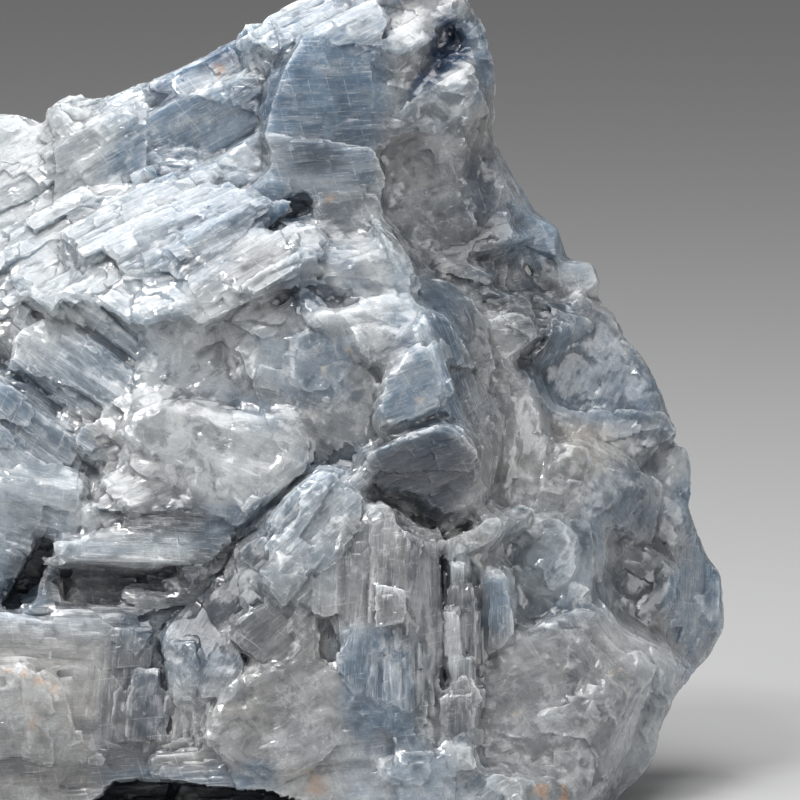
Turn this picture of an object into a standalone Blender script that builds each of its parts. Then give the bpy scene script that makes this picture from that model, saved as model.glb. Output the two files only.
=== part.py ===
"""A rough lump of blue calcite, one broken piece of massive crystal, standing on a flat cleavage face.

Everything is first laid out in the show face's own axes, in millimetres: x runs right, y runs away from the
viewer and u runs up the face. The face leans back by LEAN_BACK, so the finished lump stands in world axes.
The stone is a core of a few convex lobes. Cleavage facets are grown on its show face, rhombs on its back and
ends, hollows are cut between them, and an envelope block trims it to its overall size.
"""

import math

import bmesh
import bpy
from mathutils import Matrix, Quaternion, Vector
from mathutils.bvhtree import BVHTree

MM = 0.001

# Overall size of the lump, in millimetres.
WIDTH = 109.0
DEPTH = 60.4
HEIGHT = 97.0

# The show face leans back by this angle, and its x and y zero lie off the centre of the base.
LEAN_BACK = math.radians(7.0)
FACE_X_OFFSET = 0.1
FACE_Y_OFFSET = -4.5

# Calcite cleaves into rhombs whose edges meet at this angle.
RHOMB_ANGLE = math.radians(101.9)

# Facets reach this far into the core, and their sides spread by this much for each millimetre of reach.
FACET_REACH = 9.0
CRISP_FLARE = 0.22
SOFT_FLARE = 0.6

# After the joins, vertices closer than this are one, and facets this near to flat are one.
WELD_MM = 0.0005
FLAT_ANGLE = math.radians(0.6)

GOLDEN_ANGLE = math.pi * (3.0 - math.sqrt(5.0))


# The convex lobes of the core, each as its corner points (x, y, u).
CORE_LOBES = {
    "main body": [
        (-36, -14, 4), (-36, -10, 40), (-30, -8, 56), (0, -11, 52), (14, -14, 46), (22, -11, 34),
        (12, -21, 14), (28, -17, 8), (38, -6, 4), (45, 5, 6), (51, 13, 21), (49, 15, 41),
        (37, 12, 59), (26, 2, 65), (10, -4, 66), (-20, -3, 66), (-36, 27, 10), (-30, 21, 50),
        (-4, 21, 60), (24, 20, 54), (41, 22, 30), (33, 28, 6), (0, 32, 10), (-30, 4, -6),
        (0, -4, -6), (30, -15, -6), (34, 20, -4), (-28, 24, -3),
    ],
    "peak": [
        (0, -4, 89), (4, -1, 94), (10, 0, 97), (20, 1, 98), (24, 2, 92), (25.5, 3, 86),
        (25.5, 2, 76), (27.5, 3, 70), (20, -5, 66), (2, -6, 66), (-2, -3, 78), (3, 12, 88),
        (12, 10, 94), (20, 10, 90), (26, 17, 66), (0, 19, 64),
    ],
    "left shoulder": [
        (-52, -5, 46), (-53, 3, 60), (-47, 8, 71), (-33, 6, 78.5), (-28, 5, 79.5), (-16, 5, 84),
        (0, 1, 90), (6, -3, 80), (0, -6, 66), (-30, -8, 58), (-51, -10, 14), (-46, -6, 3),
        (-30, -13, 4), (-50, 14, 52), (-38, 19, 62), (-10, 17, 76), (4, 13, 84), (-47, 20, 12),
        (-32, 27, 8),
    ],
}

# The lump's own outline as the show face's viewer sees it, (x, u), clockwise from the left end.
OUTLINE = [
    (-54, 3), (-56, 20), (-55.5, 58), (-52, 66), (-45, 75), (-36, 80.8), (-30.8, 82.2), (-29, 80.6), (-27, 82.6), (-25.8, 84.4),
    (-20.4, 83.8), (-17, 85.6), (-14.5, 86.6), (-8, 89.4), (0, 93), (6.5, 96.4), (13, 99), (21.6, 98),
    (23.8, 94.4), (25.6, 91), (26.4, 86.8), (26.2, 80.6), (28, 72.6), (31, 71), (34, 69), (34.4, 65.2),
    (38.4, 64.6), (40.6, 58.6), (43, 54.4), (46.6, 47.4), (49.4, 42.2), (50.2, 34), (53.6, 26),
    (54.8, 21.3), (52, 16.4), (48.6, 12.4), (45.4, 6), (42, 2), (38, -6), (-54, -6),
]

# Each facet is an outline (x, u), its depth y at the outline's middle, and how its depth changes
# with x and with u: a facet whose depth grows with u looks up, and one whose depth grows with x looks right.
PEAK_FACETS = [
    ("plate", [(3.6, 91), (12.5, 89.6), (16.5, 87), (17, 80), (12, 77.6), (-0.8, 79.6), (0, 83), (1.5, 87.4)],
     -8.6, 0.05, 0.02, CRISP_FLARE),
    ("pane below the plate", [(-0.8, 79.4), (12, 77.4), (13.6, 73.2), (7, 73.3), (3, 74.6), (0.3, 76.6)],
     -8.8, 0.05, -0.3, CRISP_FLARE),
    ("left pane", [(-1.5, 81.2), (0.6, 81.4), (2.2, 87.4), (-0.4, 87.2)], -7.4, -0.5, 0.0, CRISP_FLARE),
    ("top shard", [(3.4, 91.4), (7, 93.2), (12, 95.6), (13.6, 93), (12.4, 90)], -8.2, -0.1, 0.35, CRISP_FLARE),
    ("first blue rib", [(-1.5, 90.4), (4, 94.2), (12, 97.6), (13, 96.2), (6, 93.2), (0.6, 89.4)],
     -5.4, 0.0, 0.7, CRISP_FLARE),
    ("second blue rib", [(-3.5, 90.6), (2, 94.6), (9, 98.4), (12, 98.2), (4, 94.4), (-2, 90.2)],
     -3.4, 0.0, 0.8, CRISP_FLARE),
    ("upper glossy ridge", [(12.6, 89.6), (15.2, 93), (17.6, 95), (21.8, 94.6), (20, 92.2), (18.4, 90.6), (15, 89)],
     -7.2, 0.1, 0.75, SOFT_FLARE),
    ("peak crown", [(13, 95.2), (15.5, 98.5), (21, 98.5), (22.6, 95.8), (21.8, 94.4), (17.4, 95.2)],
     -4.0, 0.1, 0.5, SOFT_FLARE),
    ("shoulder under the ridge", [(12.4, 88.8), (16, 89.4), (18, 88.6), (17.4, 85), (15.6, 82), (13, 82)],
     -8.0, 0.1, 0.1, SOFT_FLARE),
    ("lower glossy ridge", [(15.6, 82), (17.6, 84.6), (20.4, 87.8), (23.8, 88.6), (24.4, 87), (22, 85.4), (19, 83.4)],
     -6.6, 0.1, 0.75, SOFT_FLARE),
    ("smooth lobe", [(15.8, 81.4), (19, 83.6), (23.6, 86), (24.8, 84.2), (23, 80.8), (20, 79), (17, 79.2)],
     -6.8, 0.25, -0.15, SOFT_FLARE),
    ("right tip", [(21.8, 96), (25.2, 92.4), (25.6, 89), (26.4, 86.6), (25.4, 84.4), (23.6, 87), (23, 91), (21.4, 94)],
     -2.6, 0.55, 0.1, SOFT_FLARE),
    ("dark cheek", [(24, 84.4), (26.2, 86), (26, 80.2), (23.6, 79.6), (22.6, 81)], -3.0, 0.8, -0.3, SOFT_FLARE),
    ("dark flank", [(22.6, 79), (26.2, 79.6), (28.2, 72.2), (27.4, 68.4), (24, 69.6), (22, 74.4)],
     -1.4, 0.7, -0.1, SOFT_FLARE),
    ("throat", [(12.4, 79), (17, 79.4), (23, 79.2), (22.6, 75), (17, 74.6), (12.8, 73)], -5.6, 0.1, -0.35, SOFT_FLARE),
]

SHOULDER_FACETS = [
    ("blue plate", [(-20.4, 74.2), (-16.6, 81), (-12, 83.6), (-4, 86.6), (-1.2, 86.4), (-1.4, 81.4),
                    (-5, 77.6), (-9, 75.2), (-13.6, 72.8), (-14, 76)], -2.6, -0.12, -0.16, CRISP_FLARE),
    ("pale stack beside the plate", [(-26.6, 73), (-28, 77.6), (-23, 80.4), (-18, 82.2), (-17, 80.6), (-19, 77), (-21, 74.2)],
     -2.2, -0.2, 0.1, CRISP_FLARE),
    ("rim over the plate", [(-19.6, 83.6), (-16, 85.2), (-14.8, 85.6), (-14.6, 83.2), (-12, 83.4), (-17, 80.8), (-21, 80.6)],
     -0.6, -0.1, 0.35, CRISP_FLARE),
    ("left blue slab", [(-14.7, 85.6), (-10.6, 86.8), (-10.4, 83.6), (-14.7, 83.2)], -1.4, -0.3, 0.0, CRISP_FLARE),
    ("deep blue slab", [(-12.2, 86.6), (-6, 89.8), (-4, 90.2), (-4, 87), (-7, 85.2), (-10.6, 84.2)],
     -1.0, 0.0, 0.25, CRISP_FLARE),
    ("rim slab", [(-6, 89.9), (0, 92.4), (3.4, 93.6), (1.4, 89), (-4, 86.8)], -0.6, 0.05, 0.4, CRISP_FLARE),
    ("corner beside the peak", [(-3.6, 86.8), (1, 89.4), (0.6, 84), (-1.6, 81.6)], -4.4, -0.2, 0.1, CRISP_FLARE),
    ("standing cube", [(-27, 82), (-26, 83.3), (-21.6, 82.4), (-23.4, 80.4), (-25.2, 79)], 0.6, 0.2, 0.5, CRISP_FLARE),
    ("standing cube side", [(-27.1, 82.2), (-26.3, 83.1), (-24, 80.2), (-25.2, 78.9), (-26.9, 80.4)],
     -0.6, -0.7, -0.1, CRISP_FLARE),
    ("back nub", [(-25.6, 84.2), (-20, 83.6), (-20, 81), (-25.6, 81)], 6.0, 0.0, 0.1, CRISP_FLARE),
    ("far left crest", [(-38, 79.5), (-33, 81.8), (-30.8, 81.8), (-29.4, 80.2), (-28.6, 76.4), (-36, 75)],
     1.2, 0.05, 0.35, CRISP_FLARE),
    ("far left slope", [(-44, 74), (-36, 76), (-28.6, 77), (-28, 73.4), (-33, 70), (-44, 67)], -1.4, -0.05, 0.5, CRISP_FLARE),
    ("small white block", [(-17, 74.6), (-14.2, 75.8), (-13.8, 73.6), (-15.8, 72.6)], -5.0, 0.0, 0.1, CRISP_FLARE),
    ("slab under the plate", [(-13.8, 72.6), (-9, 75.9), (-8.2, 75.6), (-7.6, 72.2), (-13, 69)], -5.6, 0.0, 0.2, CRISP_FLARE),
    ("ramp to the peak", [(-8, 75.6), (-1, 80.2), (0.6, 79.2), (0.2, 76.4), (-4, 72.8), (-7.6, 71.8)],
     -6.2, 0.0, 0.3, CRISP_FLARE),
]

CENTRE_FACETS = [
    ("upper brow", [(4.5, 63.6), (9, 65.4), (12.3, 66.3), (15.2, 61.6), (14, 60.1), (8, 60.4), (5.4, 61.6)],
     -14.0, 0.05, 0.5, SOFT_FLARE),
    ("brow roof", [(4.6, 73), (12.4, 72.8), (12.4, 66.4), (8, 65.6), (5, 67)], -8.4, 0.0, 0.25, SOFT_FLARE),
    ("lower brow", [(4, 58.4), (8, 58.6), (12, 59.8), (15.6, 60), (18.2, 57.4), (14, 55.8), (9.5, 56.1), (5, 56.8)],
     -17.0, 0.1, 0.4, SOFT_FLARE),
    ("cheek", [(9.5, 56.2), (14, 56), (18.6, 57), (19.9, 53), (17, 51.8), (12, 52.4), (10, 54.3)],
     -18.2, 0.15, 0.15, SOFT_FLARE),
    ("pitted boss", [(3, 55.6), (9, 54.8), (9.8, 52), (8, 47.8), (3.6, 48.2), (2.5, 52)], -16.8, 0.0, 0.15, SOFT_FLARE),
    ("pale boss", [(-3.4, 51), (-1, 55), (3, 55.6), (3.2, 48.4), (-1, 48.8)], -16.0, 0.0, 0.2, SOFT_FLARE),
    ("left brow", [(-6, 56.6), (-1, 58.2), (3.4, 59.6), (3.6, 56), (-1, 54.6), (-5.6, 53.6)],
     -13.6, 0.0, 0.2, SOFT_FLARE),
    ("core face", [(8, 52), (13, 51.6), (13.2, 44.6), (11, 42.6), (6, 41.8), (4.4, 44), (5, 48)],
     -17.0, 0.1, 0.1, SOFT_FLARE),
    ("upper face of the block", [(12.8, 43.8), (20, 46.9), (19.9, 52), (17.4, 54.4), (13.6, 51), (12.4, 46.4)],
     -19.8, 0.12, 0.1, CRISP_FLARE),
    ("end face of the block", [(11.4, 41.6), (14.4, 42.8), (19.6, 44.4), (22, 43.6), (24, 41.6), (24.4, 38.4),
                               (24, 36), (21.3, 33.9), (18.8, 35.2), (16.4, 37.2), (13.6, 36.9), (11.2, 38.6)],
     -20.4, 0.12, -0.45, CRISP_FLARE),
    ("long dark wall", [(12.7, 67.6), (15, 66), (19, 59.4), (21.6, 57), (23.6, 52), (26.6, 47), (27.6, 43), (26, 38.4),
                        (24.6, 37), (24.2, 41.4), (20.4, 46.6), (20, 53), (18.6, 57.4), (15.6, 61.5)],
     -12.8, 1.0, 0.35, CRISP_FLARE),
    ("sill under the block", [(15.6, 34.4), (20.4, 31), (24, 32.4), (27, 34), (26, 31.4), (21, 29), (16, 31.6)],
     -19.4, 0.1, 0.3, CRISP_FLARE),
    ("splinter beside the block", [(8.4, 38.4), (12.6, 42), (13.6, 41), (11.4, 38), (9.4, 37)], -18.6, 0.2, 0.0, CRISP_FLARE),
    ("milky mass", [(-17.6, 43.4), (-16, 46.4), (-12, 47.6), (-8, 46.4), (-1, 46), (4, 46.8), (4.4, 43.4), (3.2, 38.6),
                    (-0.4, 34.4), (-4, 35.2), (-8, 39.4), (-14, 41.6)], -18.6, 0.0, 0.3, SOFT_FLARE),
    ("grey saddle", [(-19, 47.6), (-14, 49.4), (-8, 51), (-5, 53.4), (-3.6, 49), (-7, 46.6), (-12, 47.4), (-16.6, 46.2)],
     -15.6, 0.0, 0.25, SOFT_FLARE),
    ("smooth band", [(-17.4, 49.4), (-15, 53.2), (-9.4, 57.4), (-6, 57.4), (-6, 53.6), (-11, 50.6)],
     -13.4, 0.0, 0.35, SOFT_FLARE),
    ("facet under the mass", [(-16.4, 40.2), (-13, 40.6), (-8.6, 39), (-8.6, 35.6), (-13, 35.8)], -18.0, 0.1, -0.1, SOFT_FLARE),
    ("dark lens", [(-9.2, 40), (-7.4, 39.4), (-4.8, 35.8), (-6.4, 34.6), (-9, 37)], -18.8, 0.5, -0.2, CRISP_FLARE),
]

LEFT_FACETS = [
    ("comb", [(-30.5, 55.4), (-27, 57.2), (-22.6, 55.4), (-15.8, 50.2), (-18.4, 46.8), (-24, 49.6), (-31, 51.6)],
     -13.2, 0.0, 0.35, CRISP_FLARE),
    ("upper comb", [(-22, 56.2), (-17, 57.6), (-14.2, 54.6), (-16.4, 52.8), (-20, 54)], -12.0, 0.0, 0.3, CRISP_FLARE),
    ("upper lath", [(-38, 50.6), (-33, 50), (-30, 48.8), (-26.6, 45.8), (-21.6, 42.2), (-23.4, 40.4), (-29, 44), (-38, 49)],
     -15.6, 0.15, 0.25, CRISP_FLARE),
    ("lower lath", [(-38, 47.8), (-33.4, 46), (-28, 42.2), (-22.8, 38.9), (-24, 37.9), (-30, 41.2), (-38, 45.4)],
     -16.4, 0.15, 0.25, CRISP_FLARE),
    ("knot", [(-23.4, 42.6), (-21.4, 45.8), (-19.4, 47), (-17.8, 45.6), (-19, 43.6), (-20.6, 40.4)],
     -15.8, 0.2, 0.1, SOFT_FLARE),
    ("bright block", [(-38, 44.6), (-32, 42.4), (-27, 40.4), (-23, 38.7), (-21.7, 38.4), (-22.2, 36.6), (-28, 35.8), (-38, 36)],
     -17.4, 0.0, 0.35, CRISP_FLARE),
    ("underside of the block", [(-38, 36), (-22.1, 36.8), (-22.4, 34.6), (-25.4, 31.6), (-28.5, 30.4), (-38, 33)],
     -17.4, 0.05, -0.35, CRISP_FLARE),
    ("cheek left of the slit", [(-38, 32.8), (-28.6, 30.4), (-32.4, 23.6), (-38, 22.6)], -17.6, -0.05, -0.1, CRISP_FLARE),
    ("post right of the slit", [(-25.7, 30.8), (-23.4, 33.4), (-22.8, 28.4), (-25, 27.6), (-24.8, 22.4), (-28, 22.8), (-27, 27)],
     -17.4, 0.2, 0.0, CRISP_FLARE),
    ("striped wedge top", [(-20.4, 37.8), (-18, 39.8), (-16.2, 39.4), (-13.8, 36), (-17, 35)], -18.4, 0.1, 0.75, CRISP_FLARE),
    ("wedge front", [(-21.6, 35.8), (-17, 35.1), (-13.8, 36), (-9.4, 35.4), (-8, 32.4), (-18, 32), (-22.6, 33.2)],
     -19.2, 0.0, -0.12, CRISP_FLARE),
    ("shelf", [(-24, 31.2), (-18, 32.4), (-9, 32.6), (-5, 31.4), (-7.6, 29), (-15, 28.2), (-22, 28.6), (-25, 28.2)],
     -20.4, 0.0, 0.3, CRISP_FLARE),
    ("tablet under the shelf", [(-16, 25), (-12, 27), (-7.8, 26.2), (-7.6, 24.2), (-11.4, 23.2), (-15.4, 21.8)],
     -18.6, 0.1, -0.1, CRISP_FLARE),
    ("sparkling bench", [(-24, 21.2), (-20, 22.8), (-16.4, 22), (-15.8, 20), (-24, 19.6)], -20.4, 0.0, 0.7, CRISP_FLARE),
    ("lower shelf", [(-40, 22.4), (-30, 22.4), (-24, 21), (-16.6, 20.6), (-14.6, 19.8), (-15.6, 16.4), (-21, 15.8), (-40, 16)],
     -21.2, 0.05, 0.15, CRISP_FLARE),
    ("bottom left mass", [(-46, 15), (-34, 16.4), (-32, 11), (-34, 5), (-46, 4.6)], -21.6, 0.12, 0.05, SOFT_FLARE),
    ("first upright of the mass", [(-33.6, 16.6), (-29.6, 16.2), (-27.6, 12.4), (-28.6, 7), (-33.6, 5.4)],
     -23.0, -0.12, 0.0, SOFT_FLARE),
    ("second upright of the mass", [(-29.4, 16), (-25.6, 14.2), (-24, 9), (-26, 5), (-28.8, 6.6)], -23.4, 0.28, 0.0, SOFT_FLARE),
    ("third upright of the mass", [(-25.2, 14.6), (-20.4, 16), (-17.6, 14.4), (-17.8, 8.2), (-20, 5), (-24.8, 6)],
     -22.0, 0.02, 0.1, SOFT_FLARE),
    ("far left buttress", [(-52, 40), (-44, 44), (-37, 42), (-38, 30), (-46, 24), (-53, 28)], -12.6, 0.25, 0.1, SOFT_FLARE),
    ("far left foot", [(-53, 22), (-44, 24), (-38, 21), (-40, 12), (-48, 8), (-53, 12)], -16.0, 0.3, 0.0, SOFT_FLARE),
    ("far left ledge", [(-53, 54), (-46, 60), (-36, 59), (-34, 51), (-40, 47), (-51, 47)], -10.4, 0.15, 0.45, SOFT_FLARE),
    ("undercut ledge", [(-40, 5), (-24, 5), (-15, 5.4), (-8, 4), (-9, 2.9), (-17, 2.9), (-22, 0.6), (-28, 1), (-40, 1)],
     -20.6, 0.0, -0.5, CRISP_FLARE),
]

LOWER_FACETS = [
    ("blue post", [(-17.4, 12), (-15.8, 15.8), (-13.6, 16.4), (-12.2, 12), (-12.8, 7.6), (-17.4, 8)], -22.4, 0.1, 0.1, CRISP_FLARE),
    ("prism side", [(-12.8, 19.5), (-9, 19.4), (-8.4, 16), (-9.4, 12.2), (-11.6, 12.4), (-12.2, 16)],
     -23.6, -0.5, 0.0, CRISP_FLARE),
    ("prism top", [(-12.8, 19.8), (-11.4, 21.6), (-7.4, 23), (-4.4, 19.2), (-3.4, 16.4), (-8.4, 16)],
     -22.0, 0.05, 0.6, CRISP_FLARE),
    ("pale cube", [(-8.5, 15.8), (-4, 16.2), (-4.4, 13.4), (-8.2, 12.6)], -24.4, 0.05, 0.1, CRISP_FLARE),
    ("stripe one of the finger", [(-0.4, 33), (1, 36), (3.6, 37.6), (3.9, 34.5), (0.8, 31.4)], -22.6, -0.3, 0.1, CRISP_FLARE),
    ("stripe two of the finger", [(3.4, 37.4), (5.4, 39.1), (7.8, 38.9), (4.8, 33.6), (0.2, 29.4), (-0.6, 30.8), (3, 34)],
     -23.6, -0.1, 0.3, CRISP_FLARE),
    ("stripe three of the finger", [(7.4, 38.6), (9.4, 36.8), (7.5, 34), (8.6, 33), (1.6, 23.9), (-1.2, 27.4), (4.4, 33.4)],
     -23.8, 0.1, 0.3, CRISP_FLARE),
    ("stripe four of the finger", [(9.2, 36.9), (11, 36.4), (12.1, 33.4), (9.6, 31), (7, 29.2), (8.4, 33.4)],
     -23.2, 0.5, 0.2, CRISP_FLARE),
    ("left of the finger", [(-4.2, 30), (-1, 31.6), (0, 28), (1.6, 24), (-0.4, 23.4), (-3.7, 23.6)], -21.6, -0.25, 0.1, CRISP_FLARE),
    ("palm", [(3.6, 27.2), (6.5, 28.2), (8.6, 26.8), (11.6, 25.4), (9.6, 23.2), (6, 22.4), (2.6, 24.4)],
     -24.4, 0.1, 0.2, CRISP_FLARE),
    ("heel", [(-4.4, 22), (0, 24.2), (2.4, 23.6), (4.4, 21.6), (6, 18), (4, 17.4), (-2, 17.6), (-4, 19)],
     -23.2, 0.0, 0.05, CRISP_FLARE),
    ("lower boss", [(-5.2, 13.8), (-2.4, 15.6), (3, 17.2), (5, 17.4), (8, 15.2), (9.6, 12), (9, 9), (6, 6), (2, 4.4),
                    (-3, 5), (-7.4, 8), (-6.4, 11)], -25.2, 0.02, 0.18, SOFT_FLARE),
    ("ridge front", [(7.6, 17), (11.8, 24.4), (12, 29.4), (16, 30.4), (17.4, 20), (17.6, 8), (13, 7.6), (9, 13)],
     -24.8, 0.08, 0.04, CRISP_FLARE),
    ("ridge side", [(15.8, 31.6), (19.4, 30.4), (20.2, 20), (20.2, 8), (17.4, 6), (17.2, 20)], -23.6, 0.7, 0.05, CRISP_FLARE),
    ("banded tablet", [(12.2, 26.2), (15.6, 25.4), (15.8, 22), (12.4, 21.2)], -26.2, 0.0, 0.15, CRISP_FLARE),
    ("ridge top", [(11.4, 34.6), (13.4, 35.4), (15.6, 32.2), (15.8, 29.4), (12.4, 29.2), (11.6, 31.4)],
     -23.6, 0.1, 0.35, CRISP_FLARE),
    ("wedge below the ridge", [(9.6, 15.4), (11.6, 16), (12.6, 13.4), (12, 10.4), (10, 11.2)], -25.2, 0.2, -0.1, CRISP_FLARE),
    ("first stair", [(20.4, 25.4), (23.9, 25.7), (24.4, 22), (24.5, 16.6), (20.5, 15.6)], -21.2, 0.1, 0.0, CRISP_FLARE),
    ("white stair", [(20.4, 22.9), (22.2, 22.8), (22.6, 15.8), (20.6, 15.2)], -22.8, -0.05, 0.0, CRISP_FLARE),
    ("second stair", [(24.6, 26.6), (28, 27.2), (28.6, 19), (25, 18.2)], -18.4, 0.1, 0.0, CRISP_FLARE),
    ("peg above the stairs", [(21.2, 28.6), (22.9, 28.4), (22.7, 26), (21.3, 26)], -21.4, 0.0, 0.2, CRISP_FLARE),
    ("third stair", [(20.4, 11.9), (24, 11.4), (24.2, 8), (20.6, 7.2)], -23.8, 0.05, 0.05, CRISP_FLARE),
    ("white foot", [(20.2, 7.2), (23.6, 7.2), (24.2, 4.2), (19.9, 4.2)], -25.6, 0.0, 0.15, CRISP_FLARE),
    ("tread between the stairs", [(20, 14.6), (23.6, 14.9), (24.6, 12.4), (20, 12)], -23.2, 0.0, 0.6, CRISP_FLARE),
    ("bottom lip", [(-13, 6), (-8, 6.6), (0, 5.6), (8, 6.4), (15, 8.4), (20, 4.6), (25, 4.2), (29.4, 3), (30, -4), (4, -4),
                    (0, 1.6), (-8, 2.9), (-13, 3.6)], -24.2, 0.0, 0.1, SOFT_FLARE),
    ("lump on the lip", [(13.4, 3.8), (14.4, 8), (17.8, 7.8), (18.8, 5), (17.8, 2.4)], -25.8, 0.1, 0.2, SOFT_FLARE),
]

RIGHT_FACETS = [
    ("grey lump under the peak", [(12.8, 72.4), (17, 74.4), (22.4, 74.4), (24.6, 70.4), (23.6, 68), (20, 66.9),
                                  (15.6, 66.5), (12.8, 69)], -4.8, 0.12, 0.1, SOFT_FLARE),
    ("small lump", [(20, 66.9), (24, 68), (28, 70.4), (28.6, 67.4), (26, 65.4), (23, 65.6)], -1.8, 0.3, 0.0, SOFT_FLARE),
    ("first notch block", [(27.6, 71.4), (31, 70), (34, 68.6), (34.1, 65), (31.4, 65.8), (28.4, 67.4)],
     4.4, 0.3, 0.2, CRISP_FLARE),
    ("second notch block", [(32, 64.6), (38.4, 64.2), (39.2, 62), (37.6, 60.4), (35.2, 60.8), (33, 62.4)],
     6.2, 0.2, 0.15, CRISP_FLARE),
    ("dark ledge", [(15.2, 65), (20, 65), (25.4, 62.6), (27, 60.4), (24, 59.8), (19.6, 60.4), (17.2, 62.4)],
     -4.0, 0.1, -0.4, SOFT_FLARE),
    ("step lump", [(22.2, 56), (25.6, 57.4), (28.6, 57.8), (31.8, 55.8), (30, 53.6), (27, 52.2), (23.8, 53)],
     -5.0, 0.1, 0.35, SOFT_FLARE),
    ("big right plate", [(34.4, 58), (37, 60.6), (40.6, 58), (41.4, 55.4), (44.4, 52.6), (46, 49.6), (47.4, 45.6), (43, 45),
                         (36, 46), (33, 47.4), (31.6, 51.6), (33, 55)], 4.6, 0.4, 0.15, SOFT_FLARE),
    ("lower right plate", [(32.6, 47), (36, 46), (43, 46), (47.6, 45), (48.4, 43.2), (44.4, 39.8), (40, 37.4), (36, 41),
                           (33, 42.6)], 2.6, 0.45, -0.1, SOFT_FLARE),
    ("lens slab", [(28.5, 51.6), (30.4, 50), (31.9, 46), (32.6, 43), (31.4, 40.4), (29.2, 42), (27.8, 46), (27.3, 50)],
     -5.6, 0.2, 0.1, SOFT_FLARE),
    ("blob beside the wall", [(24.6, 51), (27.6, 51), (28.2, 46), (29.6, 42), (27.8, 39), (26.4, 42), (25, 46)],
     -7.4, 0.2, 0.1, SOFT_FLARE),
    ("white knuckle", [(45, 38.4), (47, 40.4), (49.6, 41.8), (50.2, 40), (50.2, 36.6), (48.4, 35.4), (45, 36)],
     8.0, 0.5, 0.3, SOFT_FLARE),
    ("cleft cheek", [(40.8, 38.6), (45, 36.8), (49.6, 35.6), (50.4, 33), (48.4, 29.8), (44, 28.6), (40.6, 31)],
     5.6, 0.45, 0.0, SOFT_FLARE),
    ("blue tip above", [(48.4, 30), (50.6, 32.8), (52, 28.4), (54, 26.4), (53.6, 23), (50.6, 24.8), (48.2, 28)],
     10.6, 0.8, 0.2, SOFT_FLARE),
    ("blue tip below", [(48.6, 24.4), (51, 24), (54.8, 21), (52.6, 17), (49, 13), (47.4, 16.6), (47, 19)],
     9.4, 0.7, -0.3, SOFT_FLARE),
    ("folded lump", [(28.6, 30.4), (31, 33.4), (34, 33.6), (36.2, 31), (35.4, 27), (33, 25), (29.6, 26.6)],
     -10.4, 0.2, 0.15, SOFT_FLARE),
    ("second fold", [(35.8, 33.6), (38.6, 32.4), (39, 28), (37.4, 26), (36, 28.4)], -6.0, 0.4, 0.1, SOFT_FLARE),
    ("blue fold", [(33.4, 24.4), (36, 27.6), (37.6, 27), (37.6, 24), (35, 22.8)], -9.0, 0.3, 0.2, SOFT_FLARE),
    ("upper fold", [(27.4, 39.6), (31.2, 40.2), (35.6, 41.4), (40, 37.2), (39.4, 33.6), (34, 34.4), (30, 34), (26.6, 35.4)],
     -6.4, 0.35, 0.15, SOFT_FLARE),
    ("hollow floor", [(39, 33), (41, 31), (46.8, 28.6), (47.4, 24), (44, 20), (40, 21.6), (38, 24.6)],
     0.6, 0.5, 0.1, SOFT_FLARE),
    ("bright step", [(28.2, 18.4), (29, 20.2), (33, 21.8), (35.2, 21.6), (33.4, 19.8), (30.6, 18.6)],
     -15.4, 0.1, 0.6, CRISP_FLARE),
    ("sloping crest", [(37.4, 24.2), (40, 21.5), (44, 18.8), (48.2, 15.7), (47.4, 11), (43.6, 11.6), (39.4, 14), (38, 19)],
     -5.4, 0.55, 0.3, SOFT_FLARE),
    ("blue slope", [(24.4, 15.4), (27, 17.4), (31, 18.8), (36, 20), (38.4, 16), (39.6, 13.4), (33, 10.8), (29, 8), (24.8, 9.6)],
     -17.4, 0.25, 0.3, SOFT_FLARE),
    ("grey slope", [(24.8, 9.8), (29, 8), (33, 10.8), (39.6, 13.4), (41, 12), (38.6, 5), (37, -1), (30, -4), (25, -4)],
     -18.6, 0.3, -0.05, SOFT_FLARE),
    ("falling corner", [(39.4, 13.8), (43.4, 11.8), (46.2, 8.4), (45.2, 4.2), (41, 0), (38, -4), (36.6, -1), (38.4, 6)],
     -8.4, 0.8, -0.1, SOFT_FLARE),
]

# Laths stand side by side like tilted books. Each row holds its distance down across the laths, where it
# starts and ends along them, and its depth. A row is split in two or three laths that step in depth.
LATH_RISE = math.radians(30.0)
LATH_NOTCH = math.radians(-42.0)
LATH_WIDTH = 2.0
LATH_SET_BACK = 1.0
LATH_SLOPE = 0.55
LATH_LEAN = 0.08
LATH_ROWS = [
    (-80.5, -14, 4, -1.6), (-78.6, -15, 9, -3.0), (-76.8, -16, 13, -4.2), (-75.0, -17, 17, -5.2),
    (-73.2, -17, 21, -6.2), (-71.4, -16, 27, -7.4), (-69.8, -14, 31, -8.6), (-68.2, 2, 30.5, -9.8),
    (-66.6, 6, 32.5, -11.0), (-65.0, 9, 33.5, -12.2), (-63.4, 11, 33.5, -13.2), (-61.8, 12.5, 36, -14.0),
    (-60.2, 13.5, 33, -14.8), (-58.6, 15, 37, -15.8), (-57.0, 18.5, 38.4, -16.6), (-55.2, 20.5, 37.4, -17.4),
]

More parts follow.
